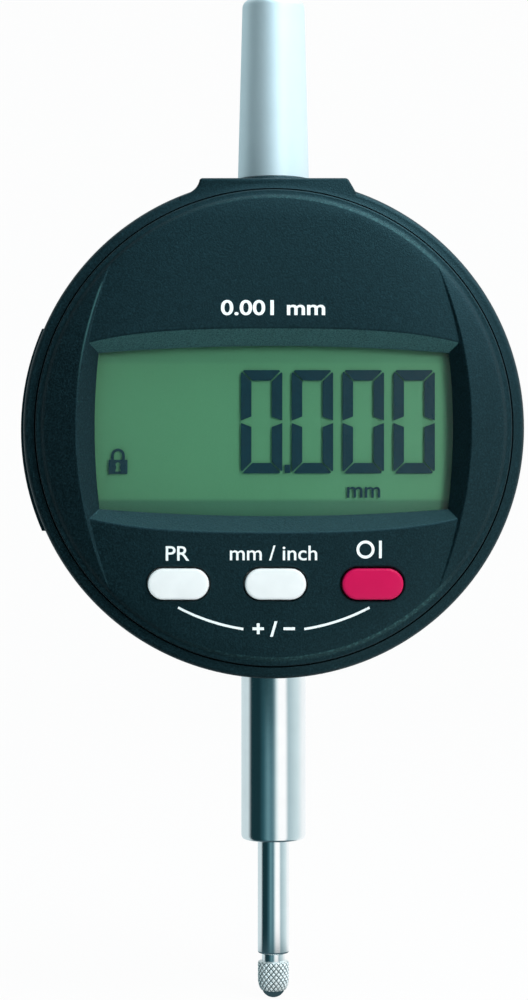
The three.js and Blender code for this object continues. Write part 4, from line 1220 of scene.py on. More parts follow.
def front_cover_mesh(face):
    """The whole cover: its face, the walls of its openings, its flat back and its skirt."""
    sizes = face.sizes
    flat, faces = face_mesh(face)
    whole = Welder()
    whole.add([at(a, face.front(a, h), h) for a, h in flat], faces)
    face_count = len(whole.faces)
    seat = back_of("display_window")
    window_front = front_of("display_window")
    window_loop = None
    holes = []
    for loop in open_loops(faces):
        line = [flat[k] for k in loop]
        reach = max(math.hypot(*p) for p in line)
        if reach > face.radius - 0.01 * MM:
            continue
        if max(h for _, h in line) > 0:
            window_loop = line
            whole.wall(line, face.front, window_front)
        else:
            holes.append(line)
            whole.wall(line, face.front, seat)
    low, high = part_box("display_window")
    room = 0.1 * MM
    bottom, top = low.z - CENTRE - room, high.z - CENTRE + room
    pocket = rectangle(low.x - room, high.x + room, bottom, top)
    points, made = filled([pocket, window_loop])
    whole.add([at(a, window_front, h) for a, h in points], made)
    whole.wall(pocket, window_front, seat)
    profile = skirt_profile(face)
    cavity = profile[-1][0]
    points, made = filled([circle(cavity, sizes.sides), pocket, *holes])
    whole.add([at(a, seat, h) for a, h in points], made)
    points = []
    bands = []
    for radius, front in profile:
        if points:
            bands += band_between(len(points) - sizes.sides, len(points), sizes.sides)
        points += [at(a, front, h) for a, h in circle(radius, sizes.sides)]
    whole.add(points, bands)
    mesh = bpy.data.meshes.new("front_cover_shell")
    mesh.from_pydata(whole.points, [], whole.faces)
    with editing(mesh) as shape:
        bmesh.ops.recalc_face_normals(shape, faces=shape.faces)
    mesh.shade_smooth()
    mesh.set_sharp_from_angle(angle=math.radians(30))
    normals = [Vector(corner.vector) for corner in mesh.corner_normals]
    for polygon in mesh.polygons[:face_count]:
        for corner in polygon.loop_indices:
            point = mesh.vertices[mesh.loops[corner].vertex_index].co
            normals[corner] = face.normal(point.x, point.z - CENTRE)
    mesh.normals_split_custom_set(normals)
    return mesh


class Builder:
    """What every operator here has in common."""

    bl_options = {"REGISTER", "UNDO"}


class INDICATOR_OT_front_cover(Builder, bpy.types.Operator):
    """Makes the moulded front cover with its domed wings, sunk strip and bevelled recess"""

    bl_idname = "indicator.front_cover"
    bl_label = "Front Cover"

    def execute(self, context):
        face = CoverFace(context.scene.indicator_cover)
        mesh = front_cover_mesh(face)
        piece("front_cover_shell", mesh, "display", "case_plastic", ["front_cover"], sharp=None)
        return {"FINISHED"}


def boss_outline(sizes, steps=16):
    """The boss on top of the body: a hollow foot on the left and a straight one on the right."""
    flat = right_of("housing") - sizes.boss_flat
    foot = right_of("housing") - sizes.boss_drop
    root = foot - 1.8 * MM
    corner = Vector((-sizes.boss_half_width, flat))
    pull = Vector((-sizes.boss_half_width - 0.15 * MM, foot + 0.1 * MM))
    start = Vector((-sizes.hollow_foot, foot - 0.4 * MM))
    outline = []
    for t in spread(0.0, 1.0, steps):
        outline.append(tuple(start * (1 - t) ** 2 + pull * 2 * t * (1 - t) + corner * t**2))
    outline += [(sizes.boss_half_width, flat), (sizes.boss_foot, foot)]
    return [*outline, (sizes.boss_foot, root), (-sizes.hollow_foot, root)]


def housing_mesh(sizes):
    """The body: a rounded ring with its boss, ledge, screw posts, drawer mouth and bores."""
    radius = right_of("housing")
    rim = front_of("housing")
    back = back_of("housing")
    far = radius + 5 * MM
    shoulder = rim - sizes.rim_slope
    easing = 0.15 * MM
    opening = right_of("front_cover") + sizes.rim_gap
    outer = [(0.0, back), (radius - easing, back), (radius, back + easing)]
    outer += [*quarter(radius, shoulder, sizes.rim_rounding), (opening, rim), (0.0, rim)]
    bore = right_of("display_circlip")
    ledge = bore - 1.2 * MM
    ledge_back = front_of("display_circlip") + 0.3 * MM
    ledge_front = ledge_back + 1.0 * MM
    seat = rim - 1.3 * MM
    inner = radius - 1.8 * MM
    chamfer = 0.05 * MM
    hollow = [
        (0.0, back - far),
        (inner, back - far),
        (inner, ledge_back),
        (ledge, ledge_back),
        (ledge, ledge_front),
        (bore, ledge_front),
        (bore, seat),
        (opening, seat),
        (opening, rim - chamfer),
        (opening + chamfer, rim),
        (opening + chamfer, rim + far),
        (0.0, rim + far),
    ]
    boss = rounded_solid(prism(boss_outline(sizes), back, shoulder), sizes.edge_rounding)
    low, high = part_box("battery_drawer")
    gap = 0.35 * MM
    bottom, top = low.z - CENTRE - gap, high.z - CENTRE + gap
    mouth = block(-far, -radius / 3, -high.y - 0.3 * MM, -low.y + gap, bottom, top)
    steps = [("UNION", boss), ("DIFFERENCE", turned(hollow, sizes.sides))]
    chassis_front = back_of("battery_drawer") - 0.3 * MM
    post, post_length, hole = 2.4 * MM, 7.0 * MM, 1.05 * MM
    for name in REAR_SCREWS:
        steps.append(("UNION", turned_bar(name, post, chassis_front, chassis_front + post_length)))
    for name in REAR_SCREWS:
        steps.append(("DIFFERENCE", turned_bar(name, hole, back - far, chassis_front + far)))
    steps.append(("DIFFERENCE", mouth))
    for node, low, high in (("stem", -far, -radius / 2), ("upper_bush", radius / 2, far)):
        bore = right_of(node) + 0.1 * MM
        steps.append(("DIFFERENCE", turned(rectangle(0.0, bore, low, high), 64, on_face=False)))
    return shaped("housing_shell", turned(outer, sizes.sides), *steps)


REAR_SCREWS = [f"rear_screw_{number}" for number in range(1, 5)]


def turned_bar(node, radius, back, front, sides=48):
    """A round bar from back to front, in line with a node."""
    return turned(rectangle(0.0, radius, back, front), sides, centre=middle_of(node))


class INDICATOR_OT_housing(Builder, bpy.types.Operator):
    """Makes the round body with its boss and the mouth of the battery drawer"""

    bl_idname = "indicator.housing"
    bl_label = "Housing"

    def execute(self, context):
        mesh = housing_mesh(context.scene.indicator_housing)
        piece("housing_shell", mesh, "body", "case_plastic", ["housing"])
        return {"FINISHED"}


class INDICATOR_OT_rear_cover(Builder, bpy.types.Operator):
    """Makes the rear cover with its countersunk holes, and the four socket screws in them"""

    bl_idname = "indicator.rear_cover"
    bl_label = "Rear Cover and Screws"

    def execute(self, context):
        back = back_of("rear_cover")
        housing_back = back_of("housing")
        edge = right_of("rear_cover")
        spigot = right_of("chassis")
        inside = front_of("rear_cover")
        outer = [(0.0, back), (edge - 0.5 * MM, back), (edge, back + 0.5 * MM), (edge, housing_back)]
        profile = [*eased(outer, 0.25 * MM), (spigot, housing_back), (spigot, inside), (0.0, inside)]
        head, shank, cone = 1.9 * MM, 0.95 * MM, MM
        key, depth = 0.9 * MM, 0.8 * MM
        sink = back + 0.1 * MM
        room = 0.1 * MM
        hole = [
            (0.0, back - MM),
            (head + 2 * room, back - MM),
            (head + 2 * room, back),
            (head + room, back + room),
            (head + room, sink + room),
            (shank + room, sink + room + cone),
            (shank + room, inside + MM),
            (0.0, inside + MM),
        ]
        sinks = [("DIFFERENCE", turned(hole, 48, centre=middle_of(name))) for name in REAR_SCREWS]
        mesh = shaped("rear_cover_shell", turned(profile, 192), *sinks)
        piece("rear_cover_shell", mesh, "body", "case_plastic", ["rear_cover"])
        socket = [(0.0, sink - MM), (key, sink - MM), (key, sink + depth), (0.0, sink + depth * 1.5)]
        for name in REAR_SCREWS:
            middle = middle_of(name)
            screw = [(0.0, sink), (head, sink), *rectangle(0.0, shank, sink + cone, front_of(name))[1:]]
            cut = ("DIFFERENCE", turned(socket, 6, centre=middle))
            mesh = shaped(f"{name}_turned", turned(eased(screw, 0.12 * MM), 48, centre=middle), cut)
            piece(f"{name}_turned", mesh, "body", "screw_steel", [name])
        return {"FINISHED"}


class INDICATOR_OT_stem_and_cap(Builder, bpy.types.Operator):
    """Makes the clamping stem below the body, and the collar and cap above it"""

    bl_idname = "indicator.stem_and_cap"
    bl_label = "Stem, Collar and Cap"

    def execute(self, context):
        radius = right_of("stem")
        bottom = bottom_of("stem")
        top = top_of("stem")
        seat = bottom_of("chassis")
        bore = right_of("lower_bush") + 0.05 * MM
        thread = right_of("upper_bush")
        edge = 0.12 * MM
        end = [(radius - 0.45 * MM, bottom), (radius - edge, bottom + edge), (radius, bottom + 0.5 * MM)]
        end = eased([*end, (radius, seat)], 0.25 * MM)
        stem = [(bore, bottom), *end, (radius, seat), (thread, seat), (thread, top), (bore, top)]
        piece("stem_turned", turned(stem, 128, on_face=False), "body", "ground_steel", ["stem"])
        low, high = bottom_of("cap_collar"), top_of("cap_collar")
        wide = right_of("cap_collar")
        collar = [(thread, low), (wide - 0.05 * MM, low), (wide, high - 0.4 * MM), (wide - 0.25 * MM, high)]
        collar = turned(eased([*collar, (thread, high)], 0.22 * MM), 128, on_face=False)
        piece("cap_collar_moulded", collar, "body", "case_plastic", ["cap_collar"])
        foot = bottom_of("spindle_cap")
        head = top_of("spindle_cap")
        wide = right_of("spindle_cap")
        narrow = 3.85 * MM
        wall = 1.1 * MM
        thread_end = foot + 5.4 * MM
        cap = [(thread, foot), (wide - 0.1 * MM, foot), (wide, foot + 0.1 * MM), *quarter(narrow, head, MM)]
        cap += [(0.0, head), (0.0, head - wall), (narrow - wall, head - wall)]
        cap += [(narrow - wall, thread_end), (thread, thread_end)]
        cap = turned(cap, 128, on_face=False)
        piece("spindle_cap_turned", cap, "body", "satin_aluminium", ["spindle_cap"])
        return {"FINISHED"}


def barrel_ends():
    """Heights of the lower and upper end of the contact point's knurled barrel."""
    neck_length = 1.0 * MM
    return bottom_of("contact_point"), bottom_of("spindle") - neck_length


def barrel(along, radius, sizes):
    """Radius of the barrel, drawn in towards its nose and rounded at its shoulder."""
    nose_length, shoulder_length = 0.45, 0.09
    low = max(0.0, 1 - along / nose_length)
    high = max(0.0, 1 - (1 - along) / shoulder_length)
    nose = (radius - sizes.nose_radius) * (1 - math.sqrt(1 - low**2))
    return radius - nose - sizes.shoulder * (1 - math.sqrt(1 - high**2))


def knurled(radius, sizes, finer=10):
    """The barrel with its diamonds between two crossing sets of grooves."""
    bottom, top = barrel_ends()
    sides = sizes.knurl_columns * finer
    steps = sizes.knurl_rows * finer
    points = []
    for i in range(steps + 1):
        along = i / steps
        fade = min(1.0, 10 * along, 14 * (1 - along))
        for k in range(sides):
            u = k / finer
            v = i / finer
            rise = min(abs((u + v + 0.5) % 1.0 - 0.5), abs((u - v + 0.5) % 1.0 - 0.5)) * 2
            here = barrel(along, radius, sizes) - sizes.knurl_depth * (1 - min(1.0, 2.0 * rise)) * fade
            angle = 2 * math.pi * k / sides
            height = bottom + (top - bottom) * along
            points.append(at(here * math.cos(angle), here * math.sin(angle), height))
    last = steps * sides
    faces = [face for start in range(0, last, sides) for face in band_between(start, start + sides, sides)]
    faces.append(list(range(sides)))
    faces.append(list(range(last + sides - 1, last - 1, -1)))
    return points, faces


class INDICATOR_OT_spindle(Builder, bpy.types.Operator):
    """Makes the ground spindle with its knurled contact point and ball"""

    bl_idname = "indicator.spindle"
    bl_label = "Spindle and Contact Point"

    def execute(self, context):
        radius = right_of("spindle")
        end = bottom_of("spindle")
        top = top_of("spindle")
        bore = 1.05 * MM
        outside = eased([(bore, end), (radius, end), (radius, top), (0.0, top)], 0.25 * MM)
        thread = 4.8 * MM
        spindle = turned([(0.0, end + thread), (bore, end + thread), *outside], 96, on_face=False)
        piece("spindle_ground", spindle, "spindle_assembly", "ground_steel", ["spindle"])
        neck = 1.43 * MM
        edge = 0.12 * MM
        middle = sum(barrel_ends()) / 2
        shank = [(0.0, middle), (neck - 0.2 * MM, middle), (neck, middle + 0.2 * MM)]
        shank += [(neck, end - edge), (neck - edge, end), *rectangle(0.0, MM, end, end + 4.5 * MM)[1:]]
        piece("contact_point_shank", turned(shank, 96, on_face=False), "spindle_assembly", "ground_steel")
        piece(
            "contact_point_knurled",
            knurled(right_of("contact_point"), context.scene.indicator_spindle),
            "spindle_assembly",
            "ground_steel",
            ["contact_point"],
            sharp=15.0,
            finish=finish_of("knurled_steel"),
        )
        radius = 1.5 * MM
        middle = bottom_of("contact_ball") + radius
        half = arc(radius, -math.pi / 2, math.pi / 2, 32, 0.0, middle)
        half = turned([(0.0, middle - radius), *half[1:-1], (0.0, middle + radius)], 64, on_face=False)
        piece("contact_ball_round", half, "spindle_assembly", "hard_ball", ["contact_ball"])
        return {"FINISHED"}


def coil(low, high, radius, wire, curls, steps=32, sides=12):
    """One unbroken wire round the spindle's axis, whose ends stand upright."""
    rise = (high - low - 2 * wire) / (curls * steps)
    route = [Vector((radius, 0.0, low)), Vector((radius, 0.0, low + wire / 2))]
    for k in range(curls * steps + 1):
        turn = 2 * math.pi * k / steps
        route.append(Vector((radius * math.cos(turn), radius * math.sin(turn), low + wire + rise * k)))
    route += [Vector((radius, 0.0, high - wire / 2)), Vector((radius, 0.0, high))]
    points = []
    for k, place in enumerate(route):
        along = (route[min(k + 1, len(route) - 1)] - route[max(k - 1, 0)]).normalized()
        out = Vector((place.x, place.y, 0.0)).normalized()
        side = along.cross(out).normalized()
        for corner in range(sides):
            angle = 2 * math.pi * corner / sides
            points.append(place + (out * math.cos(angle) + side * math.sin(angle)) * wire / 2)
    last = len(points) - sides
    faces = [list(range(sides)), list(range(last, last + sides))]
    for start in range(0, last, sides):
        faces += band_between(start, start + sides, sides)
    return points, faces


class INDICATOR_OT_return_spring(Builder, bpy.types.Operator):
    """Makes the return spring round the spindle; the real one is squashed as the spindle rises"""

    bl_idname = "indicator.return_spring"
    bl_label = "Return Spring"

    def execute(self, context):
        sizes = context.scene.indicator_spindle
        low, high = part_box("return_spring")
        radius = high.x - sizes.spring_wire / 2
        shape = coil(low.z, high.z, radius, sizes.spring_wire, sizes.spring_curls)
        spring = piece("return_spring_wound", shape, "spindle_assembly", "spring_steel", ["return_spring"])
        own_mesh(spring)
        return {"FINISHED"}


class INDICATOR_OT_buttons(Builder, bpy.types.Operator):
    """Makes the three push buttons with rounded, slightly crowned tops"""

    bl_idname = "indicator.buttons"
    bl_label = "Buttons"

    def execute(self, context):
        sizes = context.scene.indicator_buttons
        lip_front = back_of("display_window") - 0.1 * MM
        lip_back = lip_front - sizes.lip
        keep = right_of("display_board") - 0.02 * MM
        reach = sizes.height / 2 - sizes.rounding
        for name, finish in BUTTONS.items():
            node = f"{name}_button"
            across, height = middle_of(f"{name}_switch")
            top = front_of(node)
            rings = [(0.0, lip_back)]
            rings += [(-e, front) for e, front in quarter(0.0, top - sizes.crown, sizes.rounding, steps=6)]
            for t in (0.2, 0.45, 0.7, 0.9):
                rings.append((sizes.rounding + reach * t, top - sizes.crown * (1 - t) ** 2))
            points = []
            for inset, front in rings:
                outline = stadium(sizes.width - 2 * inset, sizes.height - 2 * inset, across, height)
                points += [at(a, front, h) for a, h in outline]
            count = len(outline)
            last = len(points) - count
            faces = [list(range(count)), list(range(len(points) - 1, last - 1, -1))]
            for start in range(0, last, count):
                faces += band_between(start, start + count, count)
            widened = stadium(sizes.width + 2 * sizes.lip, sizes.height + 2 * sizes.lip, across, height)
            widened = [tuple(Vector(p) * min(1.0, keep / math.hypot(*p))) for p in widened]
            lip = prism(widened, lip_back, lip_front)
            plunger = turned_bar(f"{name}_switch", sizes.plunger, back_of(node), lip_front - sizes.lip / 2)
            mesh = shaped(f"{node}_moulded", (points, faces), ("UNION", lip), ("UNION", plunger))
            piece(f"{node}_moulded", mesh, name, finish, [node], sharp=35.0)
        return {"FINISHED"}


def digit_segments(left, bottom, sizes):
    """The six lit segments of a nought, with mitred ends and cut corners, as outlines."""
    width, height, stroke = sizes.digit_width, sizes.digit_height, sizes.stroke
    cut, slit = sizes.corner_cut, sizes.gap * math.sqrt(0.5)
    middle = height / 2
    near, far = (cut - slit) / 2, (cut + slit) / 2
    top = [
        (cut, height),
        (width - cut, height),
        (width - far, height - near),
        (width - stroke - slit, height - stroke),
        (stroke + slit, height - stroke),
        (far, height - near),
    ]
    upper_left = [
        (0.0, height - cut),
        (near, height - far),
        (stroke, height - stroke - slit),
        (stroke, middle + 0.5 * stroke),
        (0.0, middle + 0.11 * stroke),
    ]

    upper = [top, upper_left, [(width - a, h) for a, h in upper_left]]
    lower = [[(a, height - h) for a, h in outline] for outline in upper]
    return [[(left + a, bottom + h) for a, h in outline] for outline in upper + lower]


def padlock(left, bottom, width, height):
    """A padlock mark: a body with a keyhole under a round shackle, as outlines."""
    body_top = bottom + height * 0.56
    middle = left + width / 2
    foot, half_foot = bottom + height * 0.1, 0.15 * width
    hole = arc(0.13 * width, -0.9, math.pi + 0.9, 14, middle, bottom + height * 0.36)
    hole += [(middle - half_foot, foot), (middle + half_foot, foot)]
    outer, inner = width * 0.36, width * 0.22
    crown = bottom + height - outer
    end = body_top - 0.02 * MM
    shackle = arc(outer, 0, math.pi, 18, middle, crown) + [(middle - outer, end), (middle - inner, end)]
    shackle += arc(inner, math.pi, 0, 18, middle, crown) + [(middle + inner, end), (middle + outer, end)]
    return [[rectangle(left, left + width, bottom, body_top), hole], [shackle]]


def sheet_of(groups, back, front):
    """Thin solid marks: each group of outlines is filled, and both fronts are numbers or functions."""
    whole = Welder()
    for outlines in groups:
        points, faces = filled(outlines)
        for level in (level_of(back), level_of(front)):
            whole.add([at(a, level(a, h), h) for a, h in points], faces)
        for outline in outlines:
            whole.wall(outline, back, front)
    return whole.points, whole.faces


# How much the letters' strokes are thickened, as parts of their size
REGULAR, BOLD, BOLDEST = 0.008, 0.02, 0.028


def lettering(text, size, middle, baseline, level, ink, bold, wide_as=None):
    """Letters as thin solid marks that follow a surface, stretched to a width if it is given."""
    curve = bpy.data.curves.new("letters", "FONT")
    curve.body = text
    curve.size = 1.0
    curve.offset = bold
    curve.resolution_u = 6
    worker = placed("letters", curve)
    flat = bpy.data.meshes.new_from_object(worker.evaluated_get(bpy.context.evaluated_depsgraph_get()))
    bpy.data.objects.remove(worker)
    with editing(flat) as shape:
        low = min(v.co.x for v in shape.verts)
        wide = max(v.co.x for v in shape.verts) - low
        stretch = wide_as / (wide * size) if wide_as else 1.0
        start = middle - wide * size * stretch / 2
        pushed = bmesh.ops.extrude_face_region(shape, geom=shape.faces[:])["geom"]
        raised = {v for v in pushed if isinstance(v, bmesh.types.BMVert)}
        for vert in shape.verts:
            across = start + (vert.co.x - low) * size * stretch
            height = baseline + vert.co.y * size
            front = level(across, height) + (ink if vert in raised else -ink)
            vert.co = Vector(at(across, front, height))
        bmesh.ops.recalc_face_normals(shape, faces=shape.faces)
    return flat


def joined(name, *parts):
    """One mesh from several meshes or solids."""
    mesh = bpy.data.meshes.new(name)
    with editing(mesh) as shape:
        for part in parts:
            shape.from_mesh(mesh_of("part", part))
    return mesh


class INDICATOR_OT_readout(Builder, bpy.types.Operator):
    """Makes the liquid crystal display: its reflector, its lit segments and the window over them"""

    bl_idname = "indicator.readout"
    bl_label = "Readout"

    def execute(self, context):
        sizes = context.scene.indicator_readout
        low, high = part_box("crystal_panel")
        reflector = -low.y - sizes.depth
        plate = block(low.x, high.x, -high.y, reflector, low.z - CENTRE, high.z - CENTRE)
        plate = rounded_solid(plate, 0.08 * MM)
        piece("display_reflector", plate, "display", "crystal_glass", ["crystal_panel"])
        front = -low.y - 0.1 * MM
        back = front - 0.03 * MM
        groups = []
        for place in range(4):
            left = sizes.digit_left + place * sizes.digit_pitch
            groups += [[outline] for outline in digit_segments(left, sizes.digit_bottom, sizes)]
        point = sizes.digit_left + sizes.digit_pitch - 0.86 * MM
        foot = sizes.digit_bottom + 0.05 * MM
        groups.append([rectangle(point, point + 0.7 * MM, foot, foot + MM)])
        groups += padlock(-19.75 * MM, -5.5 * MM, 2.26 * MM, 3.04 * MM)
        marks = sheet_of(groups, back, front)
        half = 0.015 * MM
        unit = lettering("mm", 2.75 * MM, 10.76 * MM, -8.31 * MM, level_of(front - half), half, REGULAR)
        mesh = joined("display_segments", marks, unit)
        piece("display_segments", mesh, "display", "crystal_glass", finish=finish_of("segment_ink"))
        low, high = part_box("display_window")
        window = block(low.x, high.x, -high.y, -low.y, low.z - CENTRE, high.z - CENTRE)
        window = rounded_solid(window, 0.1 * MM)
        piece("display_window_clear", window, "display", "clear_window", ["display_window"])
        return {"FINISHED"}


class INDICATOR_OT_labels(Builder, bpy.types.Operator):
    """Prints the buttons' marks and the resolution on the cover"""

    bl_idname = "indicator.labels"
    bl_label = "Printed Marks"

    def execute(self, context):
        sizes = context.scene.indicator_labels
        face = CoverFace(context.scene.indicator_cover)
        size = sizes.cap_height / 0.72
        ink = sizes.ink
        words = (
            ("PR", -11.40, -15.78, 23.5, REGULAR),
            ("mm / inch", -0.04, -15.72, 87.0, REGULAR),
            ("+ / −", -0.01, -24.75, 42.5, BOLDEST),
            ("0.001 mm", -0.10, 13.30, 104.0, BOLD),
        )
        parts = []
        for text, middle, baseline, pixels, bold in words:
            place = (middle * MM, baseline * MM)
            parts.append(lettering(text, size, *place, face.front, ink, bold, pixels * PIXEL))
        rings = [circle(radius, 48, 10.84 * MM, -14.47 * MM) for radius in (1.07 * MM, 0.73 * MM)]
        bar = rectangle(12.44 * MM, 12.77 * MM, -15.5 * MM, -13.42 * MM)
        groups = [rings, [bar]]
        half = sizes.stroke / 2
        for start, end in ((-81.4, -62.0), (-118.0, -98.6)):
            angles = (math.radians(start), math.radians(end))
            groups.append([sector(sizes.arc_radius - half, sizes.arc_radius + half, *angles)])
        marks = sheet_of(groups, lambda a, h: face.front(a, h) - ink, lambda a, h: face.front(a, h) + ink)
        mesh = joined("printed_marks", marks, *parts)
        piece("printed_marks", mesh, "display", "case_plastic", finish=finish_of("printed_mark"))
        return {"FINISHED"}


class INDICATOR_OT_battery_drawer(Builder, bpy.types.Operator):
    """Makes the battery drawer with its curved front and finger groove, and the cell in it"""

    bl_idname = "indicator.battery_drawer"
    bl_label = "Battery Drawer"

    def execute(self, context):
        low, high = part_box("battery_drawer")
        stand = -low.x
        back, front = -high.y, -low.y
        top = high.z - CENTRE
        radius = right_of("housing")
        sides = 192
        thickness = 2.2 * MM
        hole = turned(rectangle(0.0, radius - thickness, back - MM, front + MM), sides)
        ring = turned(eased(rectangle(0.0, stand, back, front), 0.2 * MM), sides)
        ring = shaped("ring", ring, ("DIFFERENCE", hole))
        across, _ = middle_of("battery")
        cell_low, cell_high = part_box("battery")
        cell_radius = (cell_high.x - cell_low.x) / 2
        cell_centre = (across, 0.0)
        tray_front = -cell_low.y - 0.5 * MM
        room = cell_radius + 0.3 * MM
        inner = high.x
        outside = -stand - 2 * MM
        mouth = rounded_solid(block(outside, across, back - MM, front + MM, -top, top), 0.25 * MM)
        tray_top = cell_radius + 1.3 * MM
        tray = block(0.35 * MM - radius, inner, back, tray_front, -tray_top, tray_top)
        disc = turned(rectangle(0.0, radius, back, tray_front), sides)
        floor = -cell_high.y
        seat = turned(rectangle(0.0, room, floor, tray_front + MM), 96, centre=cell_centre)
        notch = block(inner - 2.7 * MM, inner + MM, back - MM, tray_front + MM, -1.9 * MM, 1.9 * MM)
        grip = block(outside, 0.7 * MM - stand, front - 2.6 * MM, front - 1.2 * MM, -6 * MM, 6 * MM)
        grip = rounded_solid(grip, 0.3 * MM)
        mesh = shaped(
            "battery_drawer_moulded",
            ring,
            ("INTERSECT", mouth),
            ("UNION", shaped("tray", tray, ("INTERSECT", disc))),
            ("DIFFERENCE", seat),
            ("DIFFERENCE", notch),
            ("DIFFERENCE", grip),
        )
        piece("battery_drawer_moulded", mesh, "drawer", "case_plastic", ["battery_drawer"])
        cell_section = eased(rectangle(0.0, cell_radius, floor, -cell_low.y), 0.4 * MM)
        cell = turned(cell_section, 96, centre=cell_centre)
        piece("battery_cell", cell, "drawer", "cell_steel", ["battery"])
        return {"FINISHED"}


INSIDE = {
    "cast_alloy": ("chassis", "scale_carrier"),
    "bush_bronze": ("lower_bush", "upper_bush"),
    "black_rubber": (
        "stem_wiper",
        "damper_ring",
        "contact_strip_upper",
        "contact_strip_lower",
        "keypad_mat",
        "display_seal",
    ),
    "circuit_board": ("sensor_board", "display_board"),
    "chip_plastic": ("processor_chip",),
    "screw_steel": ("board_screw_1", "board_screw_2", "board_screw_3", "board_screw_4"),
    "spring_steel": (
        "battery_contact_minus",
        "battery_contact_plus",
        "preset_switch",
        "unit_switch",
        "power_switch",
        "display_circlip",
    ),
    "ground_steel": ("stop_collar", "guide_pin"),
    "scale_glass": ("measuring_scale",),
    "case_plastic": ("panel_frame",),
}


class INDICATOR_OT_inside(Builder, bpy.types.Operator):
    """Gives the works inside the body their finishes"""

    bl_idname = "indicator.inside"
    bl_label = "Works Inside"

    def execute(self, context):
        for finish, nodes in INSIDE.items():
            dress(finish, *nodes)
        return {"FINISHED"}


# The studio as polished faces see it: colours by the angle from the viewer's direction to the right, fitted
# to the bright and dark stripes of round metal.
WHITE = (1.0, 1.04, 1.05)
PALE = (0.66, 0.78, 0.81)
DARK = (0.009, 0.034, 0.042)
GREY = (0.42, 0.57, 0.61)
AT_EYE_LEVEL = (
    (-180, WHITE),
    (-150, PALE),
    (-101, PALE),
    (-86, DARK),
    (-58, (0.005, 0.023, 0.031)),
    (-36, (0.018, 0.056, 0.067)),
    (-24, (0.012, 0.045, 0.054)),
    (-3, (0.036, 0.098, 0.115)),
    (4, (0.17, 0.28, 0.31)),
    (12, (0.78, 0.92, 0.94)),
    (20, (1.15, 1.15, 1.15)),
    (41, (1.15, 1.15, 1.15)),
    (51, GREY),
    (58, GREY),
    (78, (0.84, 0.92, 0.93)),
    (104, WHITE),
    (180, WHITE),
)
HIGHER = (
    (-180, (1.0, 1.0, 1.0)),
    (-120, (0.9, 0.9, 0.9)),
    (-95, DARK),
    (50, DARK),
    (75, (0.7, 0.75, 0.75)),
    (180, (1.0, 1.0, 1.0)),
)
ON_THE_FLOOR = (
    (-180, WHITE),
    (-150, PALE),
    (-101, PALE),
    (-86, DARK),
    (-50, DARK),
    (-34, (0.030, 0.105, 0.130)),
    (-19, (0.150, 0.310, 0.350)),
    (-6, (0.090, 0.200, 0.240)),
    (2, (0.17, 0.30, 0.34)),
    (11, (0.78, 0.92, 0.94)),
    (20, (1.15, 1.15, 1.15)),
    (43, (1.15, 1.15, 1.15)),
    (54, GREY),
    (60, (0.46, 0.60, 0.64)),
    (95, (0.68, 0.83, 0.86)),
    (125, WHITE),
    (180, WHITE),
)
OVERHEAD = (1.3, 1.75, 2.0, 1.0)
# Painted shade that reflections show on the floor right under the object
UNDERFOOT = (0.05, 0.10, 0.12, 1.0)
FILL_LEFT = (0.10, 0.42, 0.50, 1.0)
FILL_RIGHT = (1.0, 1.0, 1.0, 1.0)


def by_angle(recipe, across, towards_viewer, shades):
    """A colour that follows the angle of a direction round the spindle."""
    turn = recipe.maths("ARCTAN2", across, towards_viewer) / (2 * math.pi) + 0.5
    stops = [((degrees + 180) / 360, (*colour, 1.0)) for degrees, colour in shades]
    return recipe.node("ShaderNodeValToRGB", {"stops": stops}, {0: turn})


def light_world(settings):
    world = bpy.data.worlds.new("studio")
    bpy.context.scene.world = world
    recipe = Recipe(world)
    direction = recipe.node("ShaderNodeTexCoord", output="Generated")
    across = recipe.part_of(direction, "X")
    nearer = 0.0 - recipe.part_of(direction, "Y")
    up = recipe.part_of(direction, "Z")
    low = by_angle(recipe, across, nearer, AT_EYE_LEVEL)
    high = by_angle(recipe, across, nearer, HIGHER)
    mirrored = recipe.mix(up.between(0.24, 0.36), low, high)
    mirrored = recipe.mix(up.between(0.28, 0.46) * across.between(-0.5, 0.0), mirrored, OVERHEAD)
    fill = recipe.mix(across.between(-1.0, 1.0), FILL_LEFT, FILL_RIGHT)
    fill = recipe.mix(settings.fill, (0.0, 0.0, 0.0, 1.0), fill)
    colour = recipe.mix(recipe.ray("Is Glossy Ray"), fill, mirrored)
    colour = recipe.mix(recipe.seen(), colour, (1, 1, 1, 1))
    sky = recipe.node("ShaderNodeBackground", None, {"Color": colour, "Strength": 1.0})
    recipe.node("ShaderNodeOutputWorld", None, {"Surface": sky})


def floor_finish():
    """Pale floor: white to the camera with the object's shadow; in reflections a painted glow of the
    studio, dark under the object.
    """
    made = bpy.data.materials.new("floor")
    recipe = Recipe(made)
    place = recipe.place()
    across = recipe.part_of(place, "X")
    nearer = 0.0 - recipe.part_of(place, "Y")
    mirrored = by_angle(recipe, across, nearer, ON_THE_FLOOR)
    away = recipe.maths("SQRT", across * across + nearer * nearer)
    # Painted dark patch under the object, seen only in reflections
    mirrored = recipe.mix(away.between(12 * MM, 30 * MM), UNDERFOOT, mirrored)
    pulp = recipe.mix(recipe.noise(2.0 * MM), (0.78, 0.78, 0.78, 1), (0.82, 0.82, 0.82, 1))
    paper = recipe.node("ShaderNodeBsdfPrincipled", None, {"Base Color": pulp, "Roughness": 0.9})
    white = recipe.node("ShaderNodeEmission", None, {"Color": (1, 1, 1, 1), "Strength": 1.0})
    around = recipe.node("ShaderNodeEmission", None, {"Color": mirrored, "Strength": 1.0})
    pale = recipe.node("ShaderNodeMixShader", None, {0: recipe.seen() * 0.96, 1: paper, 2: white})
    whole = recipe.node("ShaderNodeMixShader", None, {0: recipe.ray("Is Glossy Ray"), 1: pale, 2: around})
    recipe.node("ShaderNodeOutputMaterial", None, {"Surface": whole})
    return made


